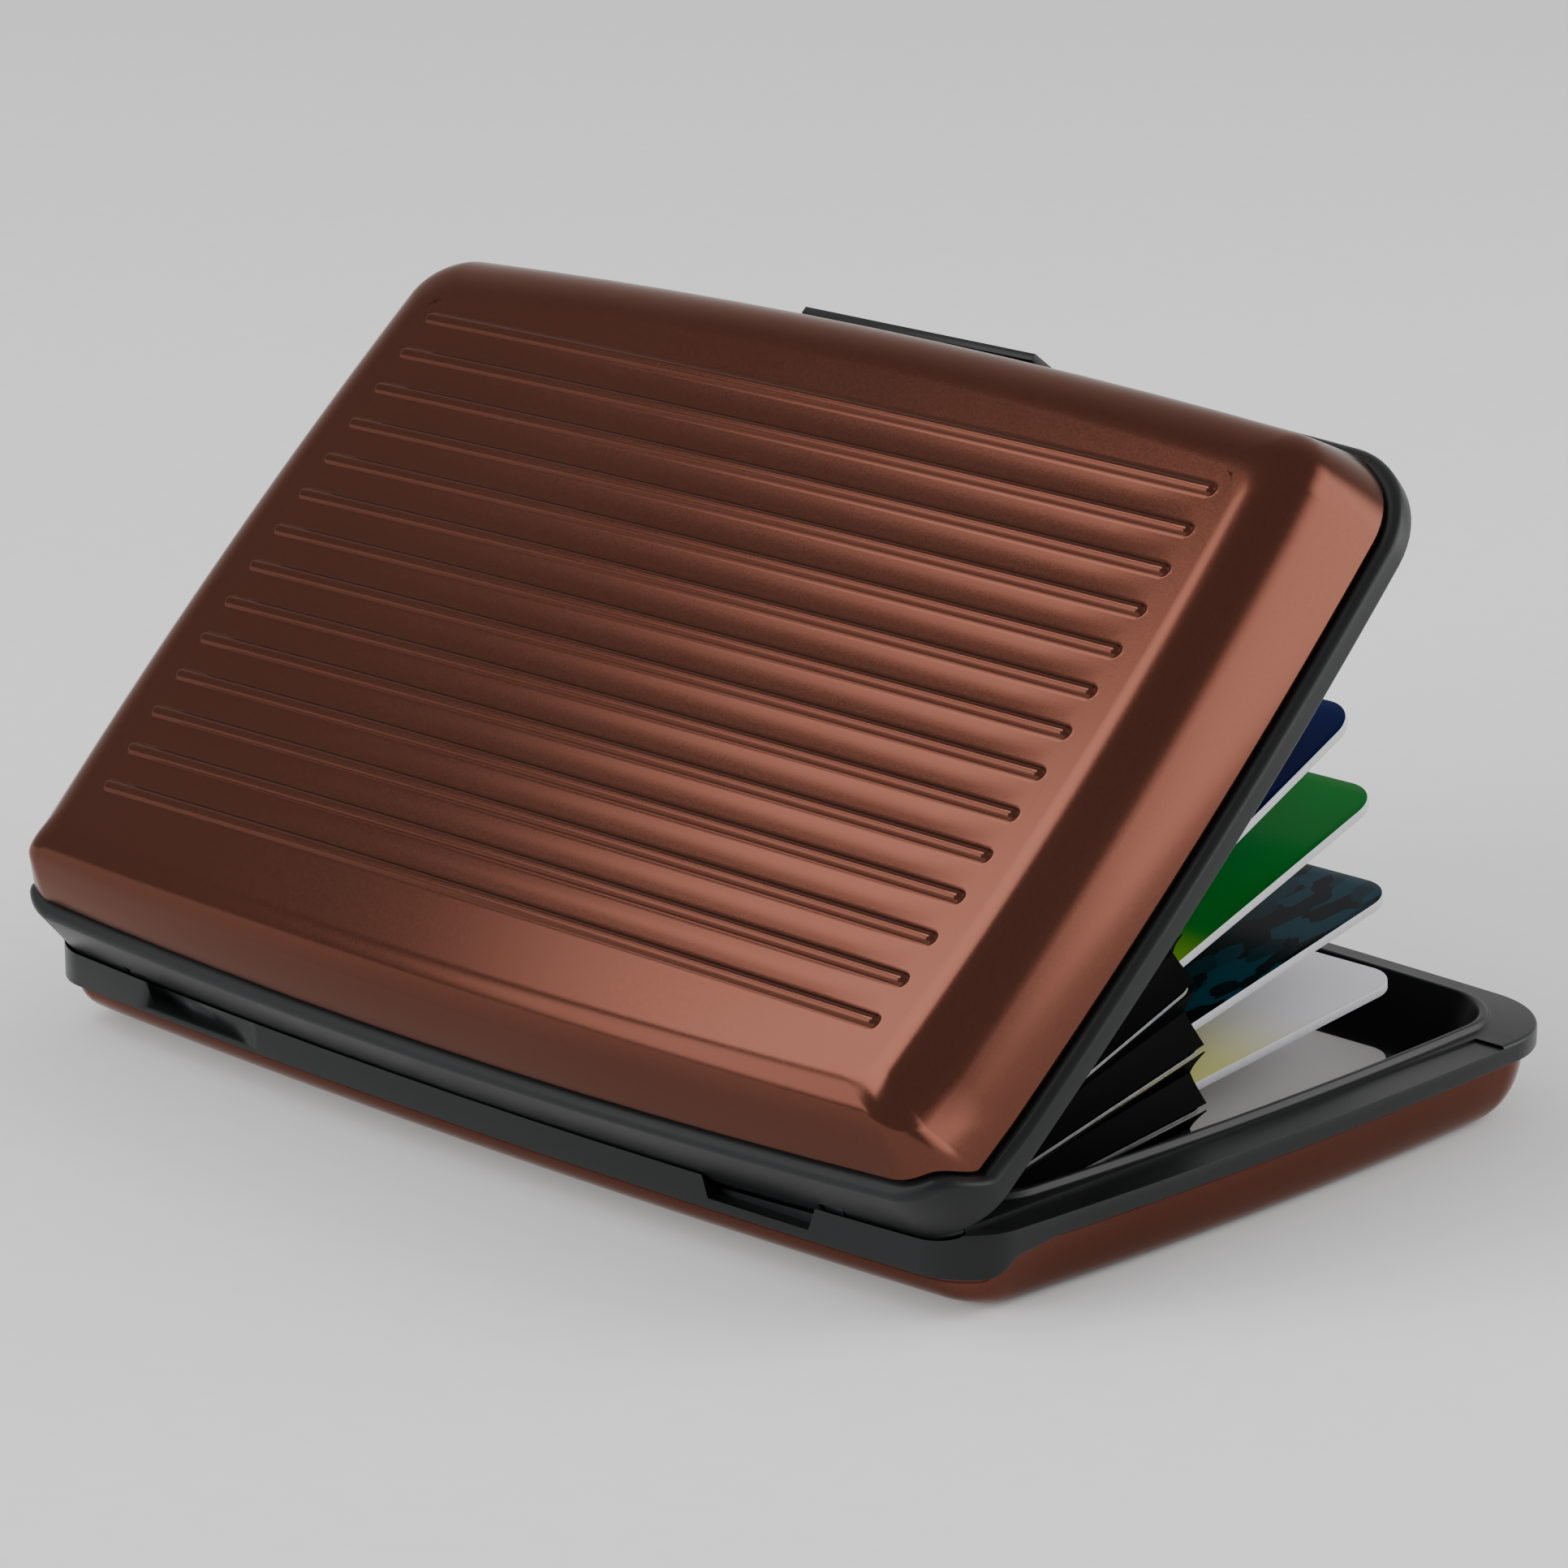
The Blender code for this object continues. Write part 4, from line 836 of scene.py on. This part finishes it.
# The tray's section in millimetres: height, the insets of its ends, of its hinge side and of its
# clasp side, and the corner's radius
lid_tray_profile = (
    (7.84, 3.5, 5.72, 2.2, 6.0), (12.8, 4.4, 6.0, 3.9, 6.0), (16.4, 5.3, 6.32, 6.0, 6.0),
    (17.1, 5.9, 6.5, 6.9, 5.6), (17.7, 6.8, 6.7, 7.9, 4.9), (18.0, 7.8, 6.92, 9.0, 4.1),
    (18.0, 8.2, 7.1, 9.4, 3.9),
)


def lid_frame_edge(y):
    return lid_edge(y) - SKIN_EDGE_GAP


lid_frame_rings = []
for step in range(BEND_STEPS, -1, -1):
    turn = LID_WALL_LEAN + (math.pi / 2 - LID_WALL_LEAN) * step / BEND_STEPS
    lid_frame_rings.append(lid_wall(turn, FRAME_INSET - SKIN_INSET))
lid_frame_rings.append(case_ring(lambda p, rim: lid_frame_edge(rim.y), FRAME_INSET))
for step in range(BAND_STEPS + 1):
    turn = math.pi / 2 * step / BAND_STEPS
    fall = BAND_FALL * (1 - math.cos(turn))
    lid_frame_rings.append(case_ring(
        lambda p, rim: lid_frame_edge(rim.y) - fall, BAND_LEDGE * (1 - math.sin(turn))
    ))
lid_frame_rings += flange_bend(LID_FLANGE, -1)
for height, inset, near, far, corner in lid_tray_profile:
    lid_frame_rings.append(case_ring(height * MM, inset * MM, near * MM, far * MM, corner * MM, 0.0))
lid_frame = swept("lid_frame", lid_frame_rings)
close_with_rungs(lid_frame, lid_frame_rings[0])
close_with_rungs(lid_frame, lid_frame_rings[-1])
face_outwards()
smooth(lid_frame, degrees=35)

cut(lid_frame, turned_edge("barrel", 0.0), "UNION")
for x in ear_places():
    half = EAR_THICKNESS / 2 + EAR_CLEARANCE
    bank = EAR_BANK + EAR_CLEARANCE
    cut(lid_frame, rod(x, HINGE_Y, HINGE_Z, EAR_RADIUS + EAR_CLEARANCE, 2 * half))
    cut(lid_frame, block((x - half, HINGE_Y - POCKET_BACK, HINGE_Z - bank),
                         (x + half, HINGE_Y + bank, HINGE_Z + POCKET_TOP)))
for side in (-1, 1):
    cut(lid_frame, rod(side * SLOT_CENTRE, HINGE_Y, HINGE_Z, PIN_BORE, PIN_BORE_LENGTH))
cut(lid_frame, block((-RECESS_HALF, RECESS_BACK, LID_FLANGE - OVERRUN),
                     (RECESS_HALF, HALF_WIDTH + OVERRUN, LID_RECESS_TOP)))
cut(lid_frame, rod(0, CLASP_PIN_Y, CLASP_PIN_Z, CLASP_PIN_BORE, CLASP_PIN_BORE_LENGTH))
smooth(lid_frame, degrees=35)
turn_about_hinge(lid_frame, LID_OPEN_ANGLE)
lid_frame.data.materials.append(black_abs)
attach(lid_frame, "lid")
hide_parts("upper_frame")


# Clasp
# A moulded black lever that turns on its pin in the lid's far edge. A thumb presses its top, and
# its nose lets go of the base's catch.

CLASP_HALF = 13.0 * MM
CLASP_TOP = 12.5 * MM
CLASP_TIP_ROUND = 0.9 * MM
CLASP_EDGE_ROUND = 0.1 * MM

# The lever's section in millimetres, as Y and Z with the lid shut
clasp_section = (
    (37.55, 6.15), (37.55, 10.2), (37.1, 12.5), (36.4, 12.5), (36.72, 10.2),
    (36.25, 9.85), (36.25, 6.85), (36.05, 6.55), (36.25, 6.15),
)
clear_bench()
bpy.ops.mesh.primitive_circle_add(vertices=len(clasp_section), fill_type="NGON")
clasp = new_piece("clasp_lever")
for vert, (y, z) in zip(clasp.data.vertices, clasp_section):
    vert.co = (-CLASP_HALF, y * MM, z * MM)
bpy.ops.object.mode_set(mode="EDIT")
bpy.ops.mesh.select_all(action="SELECT")
bpy.ops.mesh.extrude_region_move(TRANSFORM_OT_translate={"value": (2 * CLASP_HALF, 0, 0)})
bpy.ops.mesh.select_all(action="DESELECT")
shape = bmesh.from_edit_mesh(clasp.data)
for edge in shape.edges:
    middle = (edge.verts[0].co + edge.verts[1].co) / 2
    edge.select = abs(middle.x) > CLASP_HALF - WELD and middle.z > CLASP_TOP - WELD
bmesh.update_edit_mesh(clasp.data)
bpy.ops.mesh.bevel(offset=CLASP_TIP_ROUND, segments=5, affect="EDGES")
face_outwards()
cut(clasp, rod(0, CLASP_PIN_Y, CLASP_PIN_Z, CLASP_PIN_BORE, 2 * (CLASP_HALF + OVERRUN)))


def ease_edges(piece, width, degrees):
    """Rounds the edges that turn by more than this."""
    easing = piece.modifiers.new("eased_edges", "BEVEL")
    easing.width = width
    easing.segments = 2
    easing.limit_method = "ANGLE"
    easing.angle_limit = math.radians(degrees)
    bpy.context.view_layer.objects.active = piece
    bpy.ops.object.modifier_apply(modifier=easing.name)


ease_edges(clasp, CLASP_EDGE_ROUND, degrees=40)
smooth(clasp, degrees=35)
turn_about_hinge(clasp, LID_OPEN_ANGLE)
clasp.data.materials.append(black_abs)
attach(clasp, "clasp")
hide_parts("latch_clasp")


# Accordion leaves
# Eight stiff leaves of die-cut black polypropylene, fanned out about the hinge. Their cut edges
# are painted grey, a painted highlight.

LEAF_ANGLES = [math.radians(angle) for angle in (1.0, 6.1, 12.1, 19.2, 25.5, 31.1, 36.7, 42.25)]
LEAF_FLOORS = [floor * MM for floor in (1.6, 2.86, 4.12, 5.38, 6.64, 10.29, 13.95, 17.6)]
LEAF_HALF = 45.0 * MM
LEAF_REAR = 5.3 * MM
LEAF_FRONT = 35.0 * MM
LEAF_CORNER = 1.5 * MM
LEAF_THICKNESS = 0.3 * MM
LEAF_RIM = 0.04 * MM

# Black polypropylene film: smooth, near black, with a faint haze from handling
leaf_film, tree, shader, where = new_material("black_polypropylene_film")
haze, film = mottled(tree, where, 6 * MM, 5.0, "040405", "08080A")
gloss = add_node(tree, "MapRange", {"Value": haze, "To Min": 0.5, "To Max": 0.65})
set_inputs(tree, shader, {"IOR": 1.49, "Specular IOR Level": 0.03, "Base Color": film,
                          "Roughness": gloss.outputs["Result"]})

# The leaves' die-cut edge, painted grey: a thin line of painted highlight
leaf_edge_highlight, tree, shader, where = new_material("film_edge_painted_highlight")
_, grey = mottled(tree, where, 0.8 * MM, 3.0, "5A5A5B", "8C8C8D")
set_inputs(tree, shader, {"Roughness": 0.5, "Base Color": grey})


def cut_sheet(name, half, near, far, corner, corner_steps, floor, thickness, rim):
    """A flat sheet with rounded corners, die cut, with its two faces' rims eased."""
    clear_bench()
    bpy.ops.mesh.primitive_plane_add(size=1)
    piece = new_piece(name)
    bpy.ops.object.mode_set(mode="EDIT")
    bpy.ops.mesh.select_all(action="SELECT")
    bpy.ops.transform.resize(value=(2 * half, far - near, 1), center_override=(0, 0, 0))
    bpy.ops.transform.translate(value=(0, HINGE_Y + (near + far) / 2, floor))
    bpy.ops.mesh.bevel(offset=corner, segments=corner_steps, affect="VERTICES")
    bpy.ops.mesh.select_all(action="SELECT")
    bpy.ops.mesh.extrude_region_move(TRANSFORM_OT_translate={"value": (0, 0, thickness)})
    face_outwards()
    ease_edges(piece, rim, degrees=60)
    smooth(piece, degrees=30)
    return piece


def paint_cut_edge(piece, face_material, edge_material):
    """The flat faces take one material, and the cut edge between them the other."""
    piece.data.materials.append(face_material)
    piece.data.materials.append(edge_material)
    for face in piece.data.polygons:
        face.material_index = 0 if abs(face.normal.z) > 0.9 else 1


for index, (turn, floor) in enumerate(zip(LEAF_ANGLES, LEAF_FLOORS)):
    leaf = cut_sheet("accordion_leaf_" + str(index), LEAF_HALF, LEAF_REAR, LEAF_FRONT, LEAF_CORNER,
                     6, floor, LEAF_THICKNESS, LEAF_RIM)
    paint_cut_edge(leaf, leaf_film, leaf_edge_highlight)
    turn_about_hinge(leaf, turn)
    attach(leaf, "leaf_" + str(index) + "_body")
    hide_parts("leaf_" + str(index))


# Accordion gussets
# Thin black film welded along both sides and the rear of each pair of leaves. It folds inwards
# as the case shuts, and leaves each pocket open at the front.

GUSSET_FOLD = 1.7 * MM
GUSSET_GAP = 0.15 * MM
GUSSET_THICKNESS = 0.1 * MM
GUSSET_CORNER = 0.7 * MM
FOLD_STEPS = 8
FOLD_FULLNESS = 1.25
SIDE_STEPS = 10
REAR_STEPS = 12


def turned_place(x, reach, height, turn):
    """A place beside the hinge's axis with the lid shut, turned about that axis."""
    y = reach * math.cos(turn) - (height - HINGE_Z) * math.sin(turn)
    z = reach * math.sin(turn) + (height - HINGE_Z) * math.cos(turn)
    return Vector((x, HINGE_Y + y, HINGE_Z + z))


# The weld's way round three sides of a leaf, cutting its rear corners: x, reach from the hinge, and
# how far the fold moves along each of the two
gusset_route = []
for step in range(SIDE_STEPS):
    reach = LEAF_FRONT + (LEAF_REAR - LEAF_FRONT) * step / SIDE_STEPS
    gusset_route.append((LEAF_HALF, reach, -1, 0))
gusset_route.append((LEAF_HALF - GUSSET_CORNER, LEAF_REAR + GUSSET_CORNER, -1, 1))
for step in range(1, REAR_STEPS):
    gusset_route.append((LEAF_HALF * (1 - 2 * step / REAR_STEPS), LEAF_REAR, 0, 1))
gusset_route.append((GUSSET_CORNER - LEAF_HALF, LEAF_REAR + GUSSET_CORNER, 1, 1))
for step in range(1, SIDE_STEPS + 1):
    reach = LEAF_REAR + (LEAF_FRONT - LEAF_REAR) * step / SIDE_STEPS
    gusset_route.append((-LEAF_HALF, reach, 1, 0))

for index in range(1, len(LEAF_ANGLES)):
    low_turn, high_turn = LEAF_ANGLES[index - 1], LEAF_ANGLES[index]
    low = LEAF_FLOORS[index - 1] + LEAF_THICKNESS + GUSSET_GAP
    high = LEAF_FLOORS[index] - GUSSET_GAP
    clear_bench()
    bpy.ops.mesh.primitive_grid_add(
        x_subdivisions=len(gusset_route) - 1, y_subdivisions=FOLD_STEPS, size=2, calc_uvs=False
    )
    gusset = new_piece("accordion_gusset_" + str(index))
    for vert in gusset.data.vertices:
        column = round((vert.co.x + 1) / 2 * (len(gusset_route) - 1))
        share = round((vert.co.y + 1) / 2 * FOLD_STEPS) / FOLD_STEPS
        x, reach, fold_x, fold_reach = gusset_route[column]
        fold = GUSSET_FOLD * (1 - abs(2 * share - 1) ** FOLD_FULLNESS)
        turn = low_turn + (high_turn - low_turn) * share
        vert.co = turned_place(x + fold * fold_x, reach + fold * fold_reach,
                               low + (high - low) * share, turn)
    wall = gusset.modifiers.new("film", "SOLIDIFY")
    wall.thickness = GUSSET_THICKNESS
    wall.offset = 0
    bpy.ops.object.modifier_apply(modifier=wall.name)
    smooth(gusset, degrees=50)
    gusset.data.materials.append(leaf_film)
    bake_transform(gusset)
    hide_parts("gusset_" + str(index))


# Cards
# Five laminated PVC cards of the standard size. Each has a white core, which shows at its punched
# edge, and glossy faces with a plain field of colour.

CARD_HALF = 42.8 * MM
CARD_REACH = 8.0 * MM
CARD_WIDTH = 53.98 * MM
CARD_CORNER = 3.18 * MM
CARD_THICKNESS = 0.76 * MM
CARD_RIM = 0.06 * MM
CARD_LIFT = 0.4 * MM

# The card's white PVC core at its punched edge, painted grey as painted shade along the edge
card_core, tree, shader, where = new_material("white_pvc_core_painted_shade")
_, white = mottled(tree, where, 0.6 * MM, 2.0, "AFAEB2", "C4C3C8")
set_inputs(tree, shader, {"IOR": 1.53, "Roughness": 0.4, "Base Color": white})


def card_face(name, gloss):
    """Laminated PVC: glossy, with a faint orange peel 1.5 mm across. Its plan is in millimetres."""
    material, tree, shader, where = new_material(name, "card_plan")
    peel = add_node(tree, "TexNoise", {"Vector": where, "Scale": 1 / 1.5, "Detail": 1.0})
    skin = add_node(tree, "Bump", {"Height": peel.outputs["Fac"], "Strength": 0.04,
                                   "Distance": 0.02 * MM})
    set_inputs(tree, shader, {"IOR": 1.53, "Roughness": gloss, "Specular IOR Level": 0.06,
                              "Normal": skin.outputs["Normal"]})
    return material, tree, shader, where


# The lowest card: plain pale grey with a soft cloud across it
grey_face, tree, shader, where = card_face("grey_laminated_pvc", 0.3)
_, cloud = mottled(tree, where, 22, 1.0, "A19E9C", "C3C1C1")
set_inputs(tree, shader, {"Base Color": cloud})

# The second card: white, a little lilac at its front and straw yellow over its rear half
white_face, tree, shader, where = card_face("white_laminated_pvc", 0.3)
parts = add_node(tree, "SeparateXYZ", {"Vector": where})
rear = add_node(tree, "MapRange", {"Value": parts.outputs["Y"], "From Min": 30, "From Max": 45,
                                   "To Min": 1, "To Max": 0}, interpolation_type="SMOOTHSTEP")
_, front = mottled(tree, where, 18, 1.0, "CCC9D0", "DDDCE2")
colour = add_node(tree, "Mix", {"Factor": rear.outputs["Result"], MIX_A: front,
                                MIX_B: hex_colour("C4C47E")}, data_type="RGBA")
set_inputs(tree, shader, {"Base Color": colour.outputs[MIX_RESULT]})

# The third card: a mosaic of dim teal blocks on near black
teal_face, tree, shader, where = card_face("teal_laminated_pvc", 0.22)
tilted = add_node(tree, "Mapping", {"Vector": where, "Rotation": (0, 0, math.radians(24)),
                                    "Scale": (1 / 1.6, 1 / 3.6, 1)})
mosaic = add_node(tree, "TexVoronoi", {"Vector": tilted.outputs["Vector"], "Scale": 1.0},
                  distance="CHEBYCHEV")
lit_block = add_node(tree, "SeparateColor", {"Color": mosaic.outputs["Color"]})
shade = add_node(tree, "MapRange", {"Value": lit_block.outputs["Red"], "From Min": 0.45,
                                    "From Max": 0.75})
colour = add_node(tree, "Mix", {"Factor": shade.outputs["Result"], MIX_A: hex_colour("030B12"),
                                MIX_B: hex_colour("08323F")}, data_type="RGBA")
set_inputs(tree, shader, {"Base Color": colour.outputs[MIX_RESULT]})

# The fourth card: green, darker in broad soft bands, with yellow-green over its rear half
green_face, tree, shader, where = card_face("green_laminated_pvc", 0.22)
tilted = add_node(tree, "Mapping", {"Vector": where, "Rotation": (0, 0, math.radians(35)),
                                    "Scale": (1 / 26, 1 / 26, 1)})
bands = add_node(tree, "TexNoise", {"Vector": tilted.outputs["Vector"], "Scale": 1.0,
                                    "Detail": 1.0})
shade = add_node(tree, "MapRange", {"Value": bands.outputs["Fac"], "From Min": 0.35,
                                    "From Max": 0.62}, interpolation_type="SMOOTHSTEP")
field = add_node(tree, "Mix", {"Factor": shade.outputs["Result"], MIX_A: hex_colour("0A4D18"),
                               MIX_B: hex_colour("077527")}, data_type="RGBA")
parts = add_node(tree, "SeparateXYZ", {"Vector": where})
sweep = add_node(tree, "MapRange", {"Value": parts.outputs["Y"], "From Min": 27, "From Max": 33,
                                    "To Min": 1, "To Max": 0}, interpolation_type="SMOOTHSTEP")
colour = add_node(tree, "Mix", {"Factor": sweep.outputs["Result"],
                                MIX_A: field.outputs[MIX_RESULT], MIX_B: hex_colour("74B00E")},
                  data_type="RGBA")
set_inputs(tree, shader, {"Base Color": colour.outputs[MIX_RESULT]})

# The fifth card: navy, deeper in broad soft patches
navy_face, tree, shader, where = card_face("navy_laminated_pvc", 0.2)
glow = add_node(tree, "TexNoise", {"Vector": where, "Scale": 1 / 30, "Detail": 0.0})
shade = add_node(tree, "MapRange", {"Value": glow.outputs["Fac"], "From Min": 0.35,
                                    "From Max": 0.65}, interpolation_type="SMOOTHSTEP")
colour = add_node(tree, "Mix", {"Factor": shade.outputs["Result"], MIX_A: hex_colour("001147"),
                                MIX_B: hex_colour("0640A0")}, data_type="RGBA")
set_inputs(tree, shader, {"Base Color": colour.outputs[MIX_RESULT]})

card_faces = (grey_face, white_face, teal_face, green_face, navy_face)
card_slots = ("card_grey", "card_white", "card_teal", "card_green", "card_navy")
for index, (face_material, slot_name) in enumerate(zip(card_faces, card_slots)):
    card = cut_sheet("bank_card_" + str(index + 1), CARD_HALF, CARD_REACH, CARD_REACH + CARD_WIDTH,
                     CARD_CORNER, 12, LEAF_FLOORS[index] + CARD_LIFT, CARD_THICKNESS, CARD_RIM)
    paint_cut_edge(card, face_material, card_core)
    # The print's plan in millimetres from the card's rear corner
    plan = card.data.uv_layers.new(name="card_plan")
    for loop in card.data.loops:
        point = card.data.vertices[loop.vertex_index].co
        plan.data[loop.index].uv = ((point.x + CARD_HALF) / MM,
                                    (point.y - HINGE_Y - CARD_REACH) / MM)
    turn_about_hinge(card, LEAF_ANGLES[index])
    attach(card, "card_" + str(index + 1) + "_body")
    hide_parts("card_" + str(index + 1))


# Floor, light and camera
# A pale paper sweep, a key soft box high at the left front with a low one under it, and one beyond
# the right side. Two broad fills light the plastic and the cards but don't show in the metal. A long
# lens looks down from over the near right corner.

FLOOR_SIZE = 6.0
FAR_SIDE = (-0.64, 0.77, 0.0)

# White paper with its fibres: matt, with hardly any change of tone
paper, tree, shader, where = new_material("white_paper")
_, pulp = mottled(tree, where, 3 * MM, 3.0, "F1F1F1", "F7F7F7")
set_inputs(tree, shader, {"Roughness": 0.9, "Base Color": pulp})
clear_bench()
bpy.ops.mesh.primitive_plane_add(size=FLOOR_SIZE, location=(0, 0, 0))
paper_floor = new_piece("paper_floor")
paper_floor.data.materials.append(paper)

# The studio round the set, a little brighter on its far side
world = bpy.data.worlds.new("studio")
bpy.context.scene.world = world
world.use_nodes = True
tree = world.node_tree
direction = add_node(tree, "TexCoord", {}).outputs["Generated"]
towards_far = add_node(tree, "VectorMath", {0: direction, 1: FAR_SIDE}, operation="DOT_PRODUCT")
dim = add_node(tree, "MapRange", {"Value": towards_far.outputs["Value"], "From Min": 0.4,
                                  "From Max": 0.9, "To Min": 0.55, "To Max": 0.75},
               interpolation_type="SMOOTHSTEP")
set_inputs(tree, tree.nodes["Background"], {"Color": hex_colour("FFFFFF"),
                                            "Strength": dim.outputs["Result"]})


def soft_box(name, corner, wide, tall, radiance, rim, in_reflections=True):
    """A flat diffuser from one corner along two edges, dimmer towards its rim."""
    across = Vector(wide)
    along = Vector(tall)
    facing = across.cross(along).normalized()
    data = bpy.data.lights.new(name, "AREA")
    data.shape = "RECTANGLE"
    data.size = across.length
    data.size_y = along.length
    # An area light's watts are four times its radiance times its area
    data.energy = 4 * radiance * across.length * along.length
    data.use_nodes = True
    tree = data.node_tree
    place = add_node(tree, "NewGeometry", {}).outputs["Parametric"]
    parts = add_node(tree, "SeparateXYZ", {"Vector": place})
    glow = 1.0
    for axis in ("X", "Y"):
        side = add_node(tree, "Math", {0: parts.outputs[axis], 1: 0.5}, operation="SUBTRACT")
        from_middle = add_node(tree, "Math", {0: side.outputs["Value"]}, operation="ABSOLUTE")
        share = add_node(tree, "MapRange", {"Value": from_middle.outputs["Value"],
                                            "From Min": 0.5 - rim, "From Max": 0.5,
                                            "To Min": 1.0, "To Max": 0.0},
                         interpolation_type="SMOOTHSTEP").outputs["Result"]
        glow = add_node(tree, "Math", {0: glow, 1: share}, operation="MULTIPLY").outputs["Value"]
    set_inputs(tree, tree.nodes["Emission"], {"Strength": glow})
    lamp = bpy.data.objects.new(name, data)
    bpy.context.scene.collection.objects.link(lamp)
    turned = Matrix((across.normalized(), along.normalized(), facing)).transposed().to_4x4()
    turned.translation = Vector(corner) + (across + along) / 2
    lamp.matrix_world = turned
    lamp.visible_camera = False
    lamp.visible_glossy = in_reflections


soft_box("key", corner=(-0.705, -0.271, 0.656), wide=(0.495, -0.354, -0.018),
         tall=(0.03, 0.008, 0.668), radiance=3.4, rim=0.08)
soft_box("low_key", corner=(-0.53, -0.66, 0.0), wide=(0.209, -0.162, 0.1),
         tall=(0.0, 0.342, 0.556), radiance=2.0, rim=0.2)
soft_box("right_soft_box", corner=(0.7, 0.06, -0.45), wide=(-0.57, 0.59, 0.0),
         tall=(0, 0, 1.2), radiance=2.8, rim=0.33)
soft_box("overhead_fill", corner=(-1.5, 1.5, 2.0), wide=(3.0, 0, 0), tall=(0, -3.0, 0),
         radiance=19.0, rim=0.1, in_reflections=False)
soft_box("front_fill", corner=(-1.2, -1.4, 0.0), wide=(1.2, -0.6, 0.0), tall=(0, 0, 0.9),
         radiance=11.0, rim=0.1, in_reflections=False)

CAMERA_PLACE = (0.35401, -0.35851, 0.17423)
AZIMUTH = math.radians(44.697)
ELEVATION = math.radians(16.611)
ROLL = math.radians(-0.271)
LENS = 147.08
SENSOR_WIDTH = 36
CLIP_START = 0.05
right = Vector((math.cos(AZIMUTH), math.sin(AZIMUTH), 0))
forward = Vector((-math.sin(AZIMUTH) * math.cos(ELEVATION),
                  math.cos(AZIMUTH) * math.cos(ELEVATION), -math.sin(ELEVATION)))
up = right.cross(forward)
camera_data = bpy.data.cameras.new("camera")
camera_data.lens = LENS
camera_data.sensor_width = SENSOR_WIDTH
camera_data.clip_start = CLIP_START
camera = bpy.data.objects.new("camera", camera_data)
bpy.context.scene.collection.objects.link(camera)
camera_right = math.cos(ROLL) * right + math.sin(ROLL) * up
camera_up = -math.sin(ROLL) * right + math.cos(ROLL) * up
pose = Matrix((camera_right, camera_up, -forward)).transposed().to_4x4()
pose.translation = Vector(CAMERA_PLACE)
camera.matrix_world = pose
bpy.context.scene.camera = camera

bpy.context.view_layer.update()
